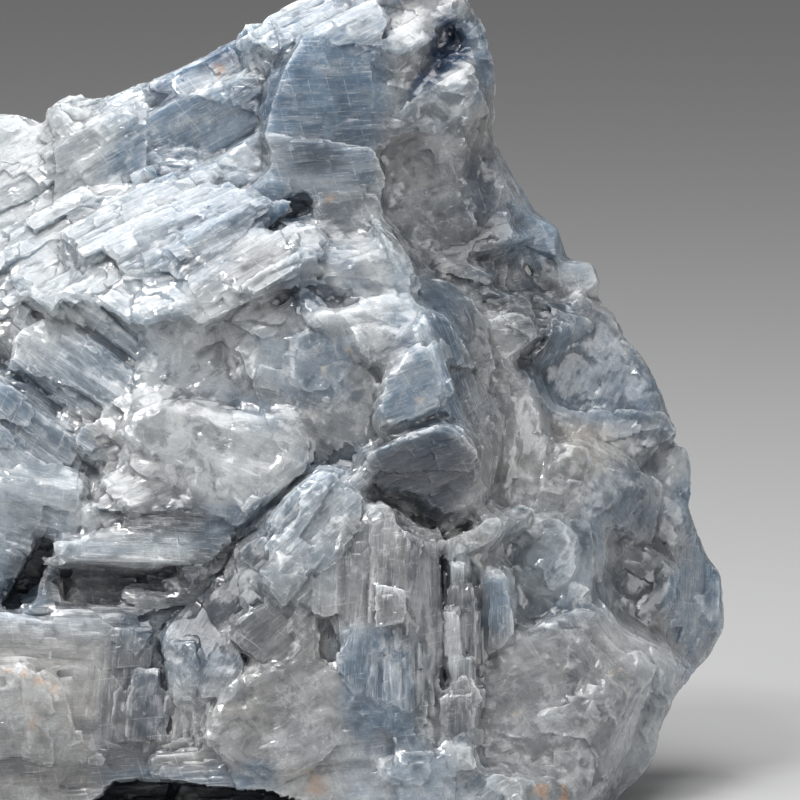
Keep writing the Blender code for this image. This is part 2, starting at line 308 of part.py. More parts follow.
# Hollows cut back between the facets: outline (x, u), depth of the floor, and its change with x and u.
HOLLOWS = [
    ("blue hollow of the peak", [(18.6, 88.2), (19.6, 92.6), (21.4, 93), (22, 90.6), (24, 90.4), (23.8, 88.8), (20.6, 88)],
     -1.0, 0.2, 0.3),
    ("shadow over the rod", [(-1.4, 68), (1, 70.2), (3.8, 72.2), (5, 71.2), (3.2, 69.4), (0, 68.1)], -2.6, 0.1, 0.2),
    ("slit of the brow", [(3.2, 58.9), (3.4, 60.3), (5.4, 60.6), (8, 60), (7.4, 58.9), (5, 58.4)], -10.6, 0.1, 0.2),
    ("slot under the brow", [(2, 61), (4.8, 61.4), (5.6, 63), (8, 65.2), (6, 65.2), (3.4, 63.2)], -9.0, 0.0, 0.2),
    ("cleft above the end face", [(11.6, 42.2), (14, 43.9), (20, 46.8), (20.4, 45.8), (16, 43.9), (12.4, 41.8)],
     -13.6, 0.1, 0.1),
    ("cleft below the end face", [(12, 37.4), (13.4, 36.6), (16.2, 36.9), (19, 34.8), (21.3, 33.5), (24.2, 35.8),
                                  (24.6, 34.4), (21, 31.6), (16.4, 34.8), (13.4, 35.2)], -14.6, 0.1, 0.1),
    ("trench of the comb", [(-30.8, 49.4), (-29.4, 50.6), (-24.4, 48.4), (-19.8, 46.6), (-21.6, 44.7), (-24.2, 46.8),
                            (-26.8, 45.8)], -9.4, 0.1, 0.3),
    ("joint of the laths", [(-22, 40.6), (-20.6, 40.2), (-18.6, 42.8), (-17.4, 42.8), (-18.6, 40), (-21, 37.6), (-21.4, 35.4),
                            (-22, 35.6), (-21.9, 38)], -11.4, 0.0, 0.2),
    ("dark slit", [(-32.4, 23.4), (-28, 29.6), (-26, 30.9), (-25.6, 30), (-28.2, 24.4), (-28.6, 22.8)], -9.6, 0.0, 0.2),
    ("gap under the shelf", [(-24, 28.3), (-13.6, 27.7), (-12.4, 26.8), (-16, 25.4), (-16.4, 22.6), (-23.6, 23)], -15.4, 0.0, 0.2),
    ("diagonal crevice", [(-15.4, 21.6), (-11, 23.2), (-7.6, 24.8), (-5.4, 28.6), (-4.4, 28.4), (-5.4, 24.4), (-3.4, 19),
                          (-4.4, 19.2), (-7.4, 22.6), (-11, 21.8)], -16.4, 0.0, 0.2),
    ("dark corner by the prism", [(-16.4, 16.6), (-14.4, 19.6), (-13.2, 19.4), (-13, 16.4), (-14.6, 15.8)], -17.4, 0.1, 0.1),
    ("gap above the mass", [(-4.4, 30.4), (-2.4, 33.4), (0, 34.4), (3, 38), (4.6, 39.6), (3, 39), (-1, 35.6), (-4.8, 31.4)],
     -15.8, 0.0, 0.2),
    ("notch of the palm", [(6, 20.8), (7, 22.4), (7.8, 19), (8.1, 16.6), (6.8, 17.4)], -20.4, 0.2, 0.0),
    ("gully right of the ridge", [(20.1, 29), (20.6, 29), (20.7, 8), (20.1, 8)], -18.6, 0.0, 0.0),
    ("gully behind the stairs", [(24.4, 24.6), (25.4, 24.6), (25.6, 17.4), (24.6, 17.4)], -15.4, 0.0, 0.0),
    ("pocket of the notch", [(25.8, 61.4), (27.6, 64), (31, 65), (32.6, 63.4), (30.6, 60.8), (28, 60.2)], 3.4, 0.2, 0.2),
    ("slanting notch", [(30.6, 60.4), (31.6, 60.6), (33.6, 58.4), (32.6, 54.6), (29, 51.6), (28.6, 52.4), (31.4, 55.4)],
     3.0, 0.2, 0.1),
    ("groove of the right edge", [(43.6, 39.6), (46.4, 42.4), (48.6, 43.6), (49, 42.6), (46.2, 40.2), (44.6, 38.6)],
     12.6, 0.3, 0.1),
    ("dent in the hollow", [(41, 26), (44, 28.4), (47, 28.2), (46.6, 25), (43, 23.6)], 3.8, 0.4, 0.0),
]

# Rhombs break up the back and the ends. They are spread evenly about these middles, and these are
# their counts, their longest edges and their shortest edges.
RHOMB_SPREADS = [((-2.0, 6.0, 36.0), 90), ((12.0, 4.0, 74.0), 36)]
RHOMB_LENGTHS = (12.0, 22.0)
RHOMB_WIDTHS = (7.0, 13.0)
RHOMB_SINK = 0.36

# The crystals of the back and ends. Each has the direction that its main cleavage face looks in, its turn
# about that direction (degrees), and the point it spreads from.
GRAINS = [
    ((-0.93, -0.1, 0.35), 20, (-50, 0, 35)),
    ((-0.72, 0.6, -0.2), 65, (-42, 18, 20)),
    ((-0.3, 0.72, 0.62), 35, (-30, 18, 62)),
    ((-0.12, 0.97, 0.15), 10, (-14, 28, 30)),
    ((0.22, 0.93, 0.28), 50, (16, 24, 45)),
    ((0.15, 0.9, -0.35), 80, (8, 26, 10)),
    ((0.7, 0.66, 0.1), 30, (38, 20, 25)),
    ((0.3, 0.8, 0.5), 15, (12, 12, 85)),
    ((-0.1, 0.45, 0.9), 55, (-10, 12, 82)),
]


def face_to_world():
    """The matrix from the show face's axes in millimetres to world axes in metres."""
    shift = Matrix.Translation((FACE_X_OFFSET * MM, FACE_Y_OFFSET * MM, 0.0))
    return shift @ Matrix.Rotation(-LEAN_BACK, 4, "X") @ Matrix.Scale(MM, 4)


def new_solid(name, shape, collection):
    """An object with the mesh of a bmesh that is in the show face's axes, put into world axes."""
    bmesh.ops.triangulate(shape, faces=shape.faces)
    bmesh.ops.recalc_face_normals(shape, faces=shape.faces)
    shape.transform(face_to_world())
    mesh = bpy.data.meshes.new(name)
    shape.to_mesh(mesh)
    shape.free()
    solid = bpy.data.objects.new(name, mesh)
    collection.objects.link(solid)
    return solid


def guide_collection(name):
    """A collection of building solids, which are not part of the finished stone."""
    collection = bpy.data.collections.new(name)
    bpy.context.scene.collection.children.link(collection)
    collection.hide_render = True
    return collection


def add_lobe(name, points, collection):
    shape = bmesh.new()
    for point in points:
        shape.verts.new(point)
    hull = bmesh.ops.convex_hull(shape, input=shape.verts)
    loose = [v for v in shape.verts if not v.link_faces]
    bmesh.ops.delete(shape, geom=list({*hull["geom_interior"], *loose}), context="VERTS")
    return new_solid(name, shape, collection)


def outline_middle(outline):
    return Vector((sum(p[0] for p in outline), sum(p[1] for p in outline))) / len(outline)


def inside_outline(x, u):
    """Whether a point lies within the lump's own outline on the show face."""
    inside = False
    for (x1, u1), (x2, u2) in zip(OUTLINE, OUTLINE[1:] + OUTLINE[:1]):
        if (u1 > u) != (u2 > u) and x < x1 + (x2 - x1) * (u - u1) / (u2 - u1):
            inside = not inside
    return inside


def add_prism(name, outline, depth, lean, slope, reach, flare, collection):
    """A block with a tilted polygon for its face. Its sides spread by flare as they run back by reach, but
    never past the lump's own outline."""
    middle = outline_middle(outline)
    shape = bmesh.new()
    corners = []
    for x, u in outline:
        y = depth + lean * (x - middle.x) + slope * (u - middle.y)
        corners.append(shape.verts.new((x, y, u)))
    front = shape.faces.new(corners)
    grown = bmesh.ops.extrude_face_region(shape, geom=[front], use_keep_orig=True)
    back = [item for item in grown["geom"] if isinstance(item, bmesh.types.BMVert)]
    radius = sum((Vector(p) - middle).length for p in outline) / len(outline)
    spread = 1.0 + flare * abs(reach) / radius
    for corner in back:
        out = Vector((corner.co.x, corner.co.z)) - middle
        grown_by = spread
        while grown_by > 0.7 and not inside_outline(*(middle + out * grown_by)):
            grown_by -= 0.04
        corner.co = (middle.x + out.x * grown_by, corner.co.y + reach, middle.y + out.y * grown_by)
    return new_solid(name, shape, collection)


def add_laths(collection):
    """Rows of laths that meet their neighbours in the row at slanting notches."""
    along = Vector((math.cos(LATH_RISE), math.sin(LATH_RISE)))
    down = Vector((math.sin(LATH_RISE), -math.cos(LATH_RISE)))
    notch = math.cos(LATH_NOTCH - LATH_RISE) / abs(math.sin(LATH_NOTCH - LATH_RISE))
    for index, (across, start, end, depth) in enumerate(LATH_ROWS):
        count = 2 + index % 2
        splits = [start]
        for part in range(1, count):
            splits.append(start + (end - start) * (part / count + 0.12 * math.sin(index * 2.1 + part)))
        splits.append(end)
        for part, (low, high) in enumerate(zip(splits, splits[1:])):
            width = LATH_WIDTH * (1.0 + 0.3 * math.sin(index * 1.7 + 2.6 * part))
            shift = notch * width
            corners = [(low - 0.5, 0.0), (high, 0.0), (high + shift, width), (low + shift - 0.5, width)]
            offset = across + 0.13 * part
            points = [tuple(along * a + down * (offset + b)) for a, b in corners]
            set_back = LATH_SET_BACK * math.sin(index * 2.7 + 1.9 * part)
            lean = LATH_LEAN * math.sin(index * 3.3 + part)
            add_prism(f"lath {index}.{part}", points, depth + set_back, lean, LATH_SLOPE, FACET_REACH, 0.05, collection)


def rhomb_edges():
    """The three unit edges of a cleavage rhomb, evenly spaced about its long axis."""
    sine = math.sqrt((1.0 - math.cos(RHOMB_ANGLE)) / 1.5)
    cosine = math.sqrt(1.0 - sine * sine)
    turns = [math.radians(120.0 * k) for k in range(3)]
    return [Vector((sine * math.cos(t), sine * math.sin(t), cosine)) for t in turns]


def nearest_grain(point):
    """The cleavage directions of the crystal that a point belongs to."""
    looks, spin, _ = min(GRAINS, key=lambda grain: (Vector(grain[2]) - point).length)
    edges = rhomb_edges()
    face = edges[0].cross(edges[1]).normalized()
    turn = Quaternion(Vector(looks).normalized(), math.radians(spin)) @ face.rotation_difference(Vector(looks))
    return [turn @ edge for edge in edges]


def add_rhomb(name, centre, edges, lengths, collection):
    shape = bmesh.new()
    bmesh.ops.create_cube(shape, size=1.0)
    columns = Matrix([edge * length for edge, length in zip(edges, lengths)]).transposed()
    shape.transform(Matrix.Translation(centre) @ columns.to_4x4())
    return new_solid(name, shape, collection)


def rhomb_corners(edges, lengths):
    """The eight corners of a rhomb about its middle."""
    halves = [edge * (length / 2) for edge, length in zip(edges, lengths)]
    signs = [(a, b, c) for a in (-1, 1) for b in (-1, 1) for c in (-1, 1)]
    return [a * halves[0] + b * halves[1] + c * halves[2] for a, b, c in signs]


def back_directions(count):
    """Directions spread evenly over all but the underside of a ball."""
    for index in range(count):
        height = 1.0 - 1.75 * (index + 0.5) / count
        flat = math.sqrt(1.0 - height * height)
        turn = index * GOLDEN_ANGLE
        yield Vector((flat * math.cos(turn), flat * math.sin(turn), height))


def rhomb_sides(index):
    """The three edge lengths of a rhomb, long ones being narrow."""
    swing = 0.5 + 0.5 * math.sin(index * 2.4)
    length = RHOMB_LENGTHS[0] + swing * (RHOMB_LENGTHS[1] - RHOMB_LENGTHS[0])
    width = RHOMB_WIDTHS[0] + (1.0 - swing) * (RHOMB_WIDTHS[1] - RHOMB_WIDTHS[0])
    flat_sides = [length, width] if index % 2 else [width, length]
    return [*flat_sides, RHOMB_WIDTHS[0]]


def add_back_rhombs(core, collection):
    """Rhombs sunk in the core's surface, wherever it looks away from the show face."""
    tree = BVHTree.FromObject(core, bpy.context.evaluated_depsgraph_get())
    to_world = face_to_world()
    to_face = to_world.inverted()
    for middle, count in RHOMB_SPREADS:
        centre = Vector(middle)
        for index, way in enumerate(back_directions(count)):
            end = (to_world @ (centre + way)) - (to_world @ centre)
            hit, _, _, _ = tree.ray_cast(to_world @ centre, end.normalized())
            if hit is None:
                continue
            spot = to_face @ hit
            on_show_face = spot.y < 5.0 and spot.x > -40.0
            if on_show_face or (spot.y < 12.0 and spot.x > 20.0):
                continue
            edges = nearest_grain(spot)
            sides = rhomb_sides(index)
            corners = rhomb_corners(edges, sides)
            sunk = spot - way * (RHOMB_SINK * sides[2])
            while not all(inside_outline(sunk.x + c.x, sunk.z + c.z) for c in corners):
                sunk -= way * 0.5
                if (sunk - spot).length > sides[2]:
                    break
            else:
                add_rhomb(f"rhomb {count}.{index}", sunk, edges, sides, collection)


def boolean(target, collection, operation):
    modifier = target.modifiers.new(operation.lower(), "BOOLEAN")
    modifier.operation = operation
    modifier.solver = "EXACT"
    modifier.operand_type = "COLLECTION"
    modifier.collection = collection
    modifier.use_self = False
    return modifier


def keep_largest_piece(shape):
    """Removes loose chips and sealed voids, which are the pieces with few vertices."""
    pieces = []
    seen = set()
    for start in shape.verts:
        if start in seen:
            continue
        seen.add(start)
        piece = [start]
        for vertex in piece:
            for edge in vertex.link_edges:
                other = edge.other_vert(vertex)
                if other not in seen:
                    seen.add(other)
                    piece.append(other)
        pieces.append(piece)
    pieces.sort(key=len)
    for piece in pieces[:-1]:
        bmesh.ops.delete(shape, geom=piece, context="VERTS")


def baked_mesh(obj, name):
    """A new mesh of the object as its modifiers leave it, welded and cleaned."""
    evaluated = obj.evaluated_get(bpy.context.evaluated_depsgraph_get())
    mesh = bpy.data.meshes.new_from_object(evaluated)
    mesh.name = name
    shape = bmesh.new()
    shape.from_mesh(mesh)
    bmesh.ops.remove_doubles(shape, verts=shape.verts, dist=WELD_MM * MM)
    keep_largest_piece(shape)
    bmesh.ops.dissolve_limit(shape, angle_limit=FLAT_ANGLE, verts=shape.verts, edges=shape.edges)
    bmesh.ops.triangulate(shape, faces=shape.faces)
    shape.to_mesh(mesh)
    shape.free()
    return mesh


def calcite_material():
    material = bpy.data.materials.new("blue calcite")
    material.use_nodes = True
    shader = material.node_tree.nodes["Principled BSDF"]
    shader.inputs["Base Color"].default_value = (0.46, 0.52, 0.58, 1.0)
    shader.inputs["Roughness"].default_value = 0.32
    shader.inputs["Metallic"].default_value = 0.0
    return material


def clear_scene():
    for old in list(bpy.data.objects):
        bpy.data.objects.remove(old, do_unlink=True)


def main():
    clear_scene()
    lobes = guide_collection("core lobes")
    facets = guide_collection("facets")
    rhombs = guide_collection("rhombs")
    hollows = guide_collection("hollows")
    envelope = guide_collection("envelope")
    stone = bpy.data.collections.new("blue calcite")
    bpy.context.scene.collection.children.link(stone)

    solids = [add_lobe(name, points, lobes) for name, points in CORE_LOBES.items()]
    core = bpy.data.objects.new("core", solids[0].data)
    bpy.context.scene.collection.objects.link(core)
    lobes.objects.unlink(solids[0])
    boolean(core, lobes, "UNION")
    bpy.context.view_layer.update()
    add_back_rhombs(core, rhombs)

    for group in (PEAK_FACETS, SHOULDER_FACETS, CENTRE_FACETS, LEFT_FACETS, LOWER_FACETS, RIGHT_FACETS):
        for name, outline, depth, lean, slope, flare in group:
            add_prism(name, outline, depth, lean, slope, FACET_REACH, flare, facets)
    add_laths(facets)
    for name, outline, depth, lean, slope in HOLLOWS:
        add_prism(name, outline, depth, lean, slope, -2.5 * FACET_REACH, 0.02, hollows)

    bpy.ops.mesh.primitive_cube_add(size=1.0, location=(0.0, 0.0, HEIGHT * MM / 2))
    block = bpy.context.active_object
    block.name = "envelope block"
    block.data.transform(Matrix.Diagonal((WIDTH * MM, DEPTH * MM, HEIGHT * MM, 1.0)))
    for collection in block.users_collection:
        collection.objects.unlink(block)
    envelope.objects.link(block)

    boolean(core, facets, "UNION")
    boolean(core, rhombs, "UNION")
    boolean(core, hollows, "DIFFERENCE")
    boolean(core, envelope, "INTERSECT")
    bpy.context.view_layer.update()

    mesh = baked_mesh(core, "blue_calcite")
    finished = bpy.data.objects.new("blue_calcite", mesh)
    mesh.materials.append(calcite_material())
    stone.objects.link(finished)
    for collection in (lobes, facets, rhombs, hollows, envelope):
        for guide in list(collection.objects):
            bpy.data.objects.remove(guide, do_unlink=True)
        bpy.data.collections.remove(collection)
    for guide in (core, solids[0]):
        bpy.data.objects.remove(guide, do_unlink=True)


main()
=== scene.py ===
"""Looks of a rough lump of blue calcite: its fine cleavage steps, striations, milky blue body and light.

Places on the stone are in the show face's own axes, in millimetres, as in the construction: x runs right,
y runs away from the viewer and u runs up the face, which leans back.
"""

import math

import bmesh
import bpy
import numpy as np
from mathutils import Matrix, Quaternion, Vector
from mathutils.bvhtree import BVHTree


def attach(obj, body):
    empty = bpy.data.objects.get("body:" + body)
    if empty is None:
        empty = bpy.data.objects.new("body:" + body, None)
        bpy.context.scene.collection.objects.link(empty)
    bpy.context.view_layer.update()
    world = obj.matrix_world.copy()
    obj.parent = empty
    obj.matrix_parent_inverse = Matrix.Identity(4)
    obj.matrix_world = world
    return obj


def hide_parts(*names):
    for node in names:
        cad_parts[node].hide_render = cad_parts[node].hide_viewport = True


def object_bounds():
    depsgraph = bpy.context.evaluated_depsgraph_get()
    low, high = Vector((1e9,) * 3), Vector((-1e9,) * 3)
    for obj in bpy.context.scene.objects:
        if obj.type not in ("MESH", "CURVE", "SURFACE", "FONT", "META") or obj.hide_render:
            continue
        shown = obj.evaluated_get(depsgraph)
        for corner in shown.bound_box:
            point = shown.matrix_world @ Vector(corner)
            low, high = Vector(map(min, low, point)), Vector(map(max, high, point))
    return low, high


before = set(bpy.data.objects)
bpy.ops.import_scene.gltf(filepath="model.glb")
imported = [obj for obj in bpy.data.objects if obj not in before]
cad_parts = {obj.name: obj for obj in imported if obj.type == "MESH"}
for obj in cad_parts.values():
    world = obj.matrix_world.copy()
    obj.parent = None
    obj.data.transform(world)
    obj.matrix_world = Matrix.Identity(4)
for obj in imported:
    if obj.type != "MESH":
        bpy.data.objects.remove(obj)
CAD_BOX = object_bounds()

MM = 0.001
SQUARE_CENTIMETRE = 100.0
NODE = "blue_calcite"

# The show face's axes, as in the construction.
LEAN_BACK = math.radians(7.0)
FACE_X_OFFSET = 0.1
FACE_Y_OFFSET = -4.5
RHOMB_ANGLE = math.radians(101.9)

# How fine the mesh is, in millimetres, before it is thinned to this many triangles.
VOXEL = 0.26
TRIANGLES = 198000

# How many times the soft parts are smoothed, and the lumps left on them: size, height and seed.
SOFT_ROUNDS = 22
SOFT_LUMPS = [(6.0, 0.5, 71), (2.6, 0.22, 72)]

# How far the fine surface may reach past the solid's box, and the angle from which its edges are sharp.
BOX_MARGIN = 0.4
SHARP_ANGLE = math.radians(28.0)

# How high above the floor the fine relief starts and where it is full, so that the foot stays flat.
FOOT_RELIEF = (0.6, 2.6)

# The crystals have grown together: the show face's hollows narrower than CLEFT_WIDTH are filled to
# CLEFT_DEPTH below their rims, or to another depth near some points, given as (x, u), radius and depth.
# Another depth fades out over CLEFT_BORDER, and what would move less than CLEFT_LEAST_RISE stays.
CLEFT_STEP = 0.4
CLEFT_WIDTH = 8.0
CLEFT_DEPTH = 0.6
CLEFT_BORDER = 1.2
CLEFT_LEAST_RISE = 0.2
FUSED_AREAS = [((-24, 66), 16.0, 0.2), ((-8, 64), 9.0, 0.25), ((-40, 66), 10.0, 0.2), ((0, 62), 6.0, 0.3),
               ((43, 27), 8.0, 0.15)]

# What counts as seen from the front: how far behind the nearest surface, and how far turned away.
SEEN_DEPTH = 0.8
SEEN_SLOPE = 0.15

# Clefts that stay open on the show face: the points (x, u) that each runs through, its half width and depth.
OPEN_CLEFTS = [
    ([(-33, 24), (-29.5, 26), (-27.3, 30.5)], 1.7, 4.5),
    ([(-26, 26.3), (-13, 25.8)], 2.3, 4.5),
    ([(-15.5, 22), (-9, 24), (-6, 27.5), (-4, 31), (-1, 33), (3, 38), (8, 40.5), (12, 42.5)], 0.7, 1.8),
    ([(12, 36.5), (16, 34.5), (20, 31.8), (23, 33)], 1.2, 3.0),
    ([(20.0, 30), (20.3, 15)], 0.4, 1.8),
    ([(35, 59), (33, 54), (29.5, 51.3)], 0.7, 1.6),
    ([(-1, 68.6), (3.5, 71)], 1.0, 2.4),
    ([(13, 67.5), (16.5, 62), (19, 57), (20, 51), (20.2, 46.5)], 0.6, 1.5),
    ([(16.5, 85.5), (19.5, 90), (20.8, 92.8)], 1.2, 2.6),
    ([(-34, 53), (-30, 50.3), (-26, 46.3)], 0.8, 1.8),
    ([(-24.5, 43), (-21.3, 39.5), (-22, 36)], 0.7, 1.8),
    ([(6.5, 21.5), (7.3, 17)], 0.7, 1.8),
    ([(14.2, 8), (13.8, 4.5)], 0.6, 1.4),
    ([(28.3, 3.7), (28.7, 3.9)], 0.7, 1.6),
    ([(-12.8, 21.5), (-12.8, 9)], 0.6, 2.2),
    ([(-3.3, 17.5), (-3.2, 12)], 0.5, 1.4),
    ([(-8.5, 53), (-6, 54.8), (-4.5, 49)], 0.5, 1.0),
    ([(1.2, 60.2), (4, 61.2), (8, 60)], 0.8, 1.6),
    ([(12, 43.5), (16, 45.3), (20.5, 45.8)], 0.4, 1.4),
    ([(-28, 57.5), (-21, 55.5), (-17, 52.6)], 0.5, 1.2),
    ([(25, 59.5), (30, 59), (33, 61)], 0.5, 1.2),
]

# The share of its depth that is cut anew where such a cleft runs, and the depths (y) over which that ends.
CARVED_SHARE = 0.35
CARVED_DEPTHS = (2.0, 10.0)

# The hollow under the front of the foot: the points (x, u) of its upper edge, how far it goes in, and how
# near the viewer it starts and is full.
FOOT_HOLLOW = [(-23, -1), (-20.5, 1), (-18.8, 2.7), (-16, 3.1), (-8, 2.6), (-1, 2.1), (3, 0.5), (8, -1)]
FOOT_HOLLOW_DEPTH = 12.0
FOOT_HOLLOW_REACH = (-14.0, -8.0)

# The flat rhombs that the surface is broken into: their size against the crystals' splinters, how far they
# reach against the crystals' stand-out, how many times the normals are smoothed first, and the seed.
RHOMBS = [(1.4, 0.55, 12, 301), (0.55, 0.22, 5, 302)]

# The same reach where the surface is worn soft.
SOFT_REACH = 0.30

# How the rhombs are laid: how ragged their borders are and how uneven their rows, how far they lean toward
# the cleavage faces, and how far they tilt and stand out at random.
RHOMB_RAGGED = 0.07
RHOMB_UNEVEN = 0.28
RHOMB_LEAN = 0.9
RHOMB_TILT = 0.07
RHOMB_STEP = 0.5

# The share of the crystals' splinters that are made as rhombs of their own, how high above the floor the
# lowest are, and the least depth that holds them in the stone.
SPLINTER_SHARE = 0.09
SPLINTER_LOWEST = 2.5
SPLINTER_ROOT = 1.6
SPLINTER_SEED = 7

# The crystals of the show face: (x, u) of the middle, the direction that the main cleavage face looks in,
# the angle of the long cleavage edge on the face (degrees), the length and width of its splinters, how far
# they stand out, how many there are on a square centimetre, and how far the crystal is worn soft (0 to 1).
SHOW_GRAINS = [
    ((5, 85), (0.0, -1.0, 0.05), 2, (5.0, 2.6), 0.16, 3, 0.10),
    ((7, 76), (0.0, -0.95, -0.2), 4, (4.0, 1.6), 0.22, 5, 0.10),
    ((8, 94), (-0.1, -0.9, 0.4), 30, (4.0, 1.6), 0.35, 10, 0.15),
    ((19, 86), (0.2, -0.8, 0.5), 40, (3.0, 1.6), 0.25, 4, 0.8),
    ((19, 93), (0.2, -0.8, 0.5), 35, (3.0, 1.6), 0.30, 5, 0.6),
    ((19, 74), (0.2, -0.95, 0.1), 15, (2.6, 1.4), 0.22, 5, 0.95),
    ((-7, 88), (0.0, -0.9, 0.4), 26, (3.6, 1.8), 0.5, 12, 0.05),
    ((-9, 80), (-0.15, -0.97, -0.12), 28, (4.0, 1.6), 0.2, 5, 0.05),
    ((-21, 78), (-0.1, -0.95, 0.2), 30, (3.4, 1.5), 0.5, 14, 0.1),
    ((-33, 76), (0.0, -0.85, 0.5), 32, (4.0, 1.8), 0.5, 12, 0.15),
    ((-24, 67), (-0.05, -0.85, 0.5), 30, (10.0, 1.4), 0.42, 16, 0.05),
    ((-10, 69), (-0.05, -0.85, 0.5), 31, (10.0, 1.4), 0.42, 16, 0.05),
    ((-2, 63), (0.0, -0.85, 0.45), 38, (9.0, 1.6), 0.35, 10, 0.2),
    ((-40, 62), (-0.1, -0.8, 0.55), 28, (6.0, 1.6), 0.5, 12, 0.1),
    ((-22, 53), (0.0, -0.92, 0.35), -40, (4.4, 0.9), 0.4, 26, 0.1),
    ((-29, 44), (0.05, -0.95, 0.25), -36, (6.0, 1.2), 0.35, 14, 0.15),
    ((-42, 46), (0.1, -0.9, 0.3), -38, (6.0, 1.6), 0.5, 9, 0.2),
    ((-10, 52), (0.0, -0.93, 0.3), 28, (3.6, 2.0), 0.22, 3, 0.85),
    ((-7, 43), (0.0, -0.95, 0.25), -18, (2.8, 1.8), 0.3, 6, 0.7),
    ((-17, 36), (0.1, -0.9, 0.4), 28, (3.0, 1.2), 0.35, 14, 0.2),
    ((-15, 30), (0.0, -0.9, 0.35), -3, (4.0, 1.3), 0.35, 12, 0.2),
    ((-29, 36), (0.0, -0.95, 0.1), -14, (5.0, 1.4), 0.35, 10, 0.3),
    ((8, 57), (0.1, -0.93, 0.3), 14, (2.8, 1.8), 0.3, 4, 0.85),
    ((6, 49), (0.0, -0.97, 0.15), -20, (2.0, 1.3), 0.35, 6, 0.7),
    ((16, 48), (0.12, -0.98, 0.1), 22, (3.0, 1.3), 0.25, 7, 0.35),
    ((8, 68), (0.0, -0.93, 0.3), 20, (2.6, 1.5), 0.3, 8, 0.5),
    ((23, 50), (0.7, -0.7, 0.2), -66, (6.0, 1.0), 0.3, 14, 0.1),
    ((18, 39), (0.12, -0.9, -0.4), -28, (18.0, 12.0), 0.05, 0, 0.35),
    ((3, 33), (-0.1, -0.95, 0.25), 47, (4.6, 1.3), 0.35, 14, 0.1),
    ((-1, 22), (-0.05, -0.98, 0.1), 42, (3.0, 1.5), 0.3, 9, 0.3),
    ((12, 23), (0.05, -0.99, 0.1), 87, (4.0, 1.4), 0.28, 10, 0.1),
    ((18, 20), (0.55, -0.83, 0.05), 88, (5.0, 1.0), 0.25, 12, 0.1),
    ((23, 18), (0.1, -0.99, 0.0), 90, (3.4, 1.3), 0.3, 12, 0.1),
    ((2, 9), (0.0, -0.98, 0.15), 24, (4.0, 2.4), 0.25, 3, 0.75),
    ((-9, 16), (0.05, -0.85, 0.5), 65, (3.4, 1.4), 0.25, 10, 0.1),
    ((-15, 12), (0.1, -0.98, 0.1), 84, (3.0, 1.2), 0.3, 10, 0.1),
    ((-26, 10), (0.0, -0.99, 0.05), 3, (4.4, 2.0), 0.25, 6, 0.6),
    ((-28, 20), (0.0, -0.98, 0.15), -2, (4.4, 1.3), 0.3, 12, 0.2),
    ((-44, 16), (-0.2, -0.95, 0.1), 8, (5.0, 1.8), 0.4, 8, 0.3),
    ((-15, 3), (0.0, -0.9, -0.4), 4, (5.0, 0.8), 0.3, 16, 0.2),
    ((10, 4), (0.0, -0.97, 0.1), 6, (3.0, 1.6), 0.3, 5, 0.6),
    ((30, 13), (0.25, -0.9, 0.35), 22, (5.0, 2.6), 0.2, 3, 0.8),
    ((31, 4), (0.3, -0.93, -0.05), 30, (5.0, 2.6), 0.25, 3, 0.7),
    ((42, 14), (0.55, -0.78, 0.3), -30, (5.0, 2.6), 0.2, 3, 0.8),
    ((51, 20), (0.8, -0.55, 0.1), 62, (6.0, 3.0), 0.2, 0, 0.05),
    ((32, 28), (0.25, -0.95, 0.15), 50, (4.0, 2.3), 0.2, 3, 0.9),
    ((29, 42), (0.3, -0.93, 0.1), 74, (4.4, 2.5), 0.2, 3, 0.9),
    ((40, 50), (0.4, -0.88, 0.15), 58, (6.0, 3.0), 0.2, 0, 0.65),
    ((45, 36), (0.5, -0.84, 0.1), 40, (4.0, 2.2), 0.25, 0, 0.6),
    ((43, 27), (0.5, -0.84, 0.1), -20, (4.0, 2.2), 0.25, 3, 0.85),
    ((29, 62), (0.3, -0.9, 0.25), 18, (3.0, 1.5), 0.3, 3, 0.2),
    ((33, 67), (0.45, -0.85, 0.15), 12, (6.0, 4.0), 0.1, 0, 0.1),
    ((26, 56), (0.1, -0.93, 0.35), 12, (3.0, 1.4), 0.3, 4, 0.85),
]

# How far round its (x, u) a crystal of the show face looks for the surface, and how near it is if none is
# found.
SHOW_GRAIN_SEARCH = 2.5
SHOW_GRAIN_DEPTH = 14.0

# The crystals of the back and ends, as in the construction: the direction that the main cleavage face looks
# in, its turn (degrees) and the point that it spreads from.
BACK_GRAINS = [
    ((-0.93, -0.1, 0.35), 20, (-50, 0, 35)),
    ((-0.72, 0.6, -0.2), 65, (-42, 18, 20)),
    ((-0.3, 0.72, 0.62), 35, (-30, 18, 62)),
    ((-0.12, 0.97, 0.15), 10, (-14, 28, 30)),
    ((0.22, 0.93, 0.28), 50, (16, 24, 45)),
    ((0.15, 0.9, -0.35), 80, (8, 26, 10)),
    ((0.7, 0.66, 0.1), 30, (38, 20, 25)),
    ((0.3, 0.8, 0.5), 15, (12, 12, 85)),
    ((-0.1, 0.45, 0.9), 55, (-10, 12, 82)),
]
BACK_SPLINTERS = ((4.5, 1.8), 0.4, 9, 0.2)


# Helpers of arithmetic on arrays of points

def to_world(points):
    """Points of the show face's axes, in millimetres, as world points in millimetres."""
    c, s = math.cos(LEAN_BACK), math.sin(LEAN_BACK)
    x, y, u = points[..., 0], points[..., 1], points[..., 2]
    return np.stack([x + FACE_X_OFFSET, y * c + u * s + FACE_Y_OFFSET, u * c - y * s], axis=-1)


def to_face(points):
    """World points in millimetres as points of the show face's axes."""
    c, s = math.cos(LEAN_BACK), math.sin(LEAN_BACK)
    y, z = points[..., 1] - FACE_Y_OFFSET, points[..., 2]
    return np.stack([points[..., 0] - FACE_X_OFFSET, y * c - z * s, y * s + z * c], axis=-1)


def directions_to_world(vectors):
    return to_world(vectors) - to_world(np.zeros(3))


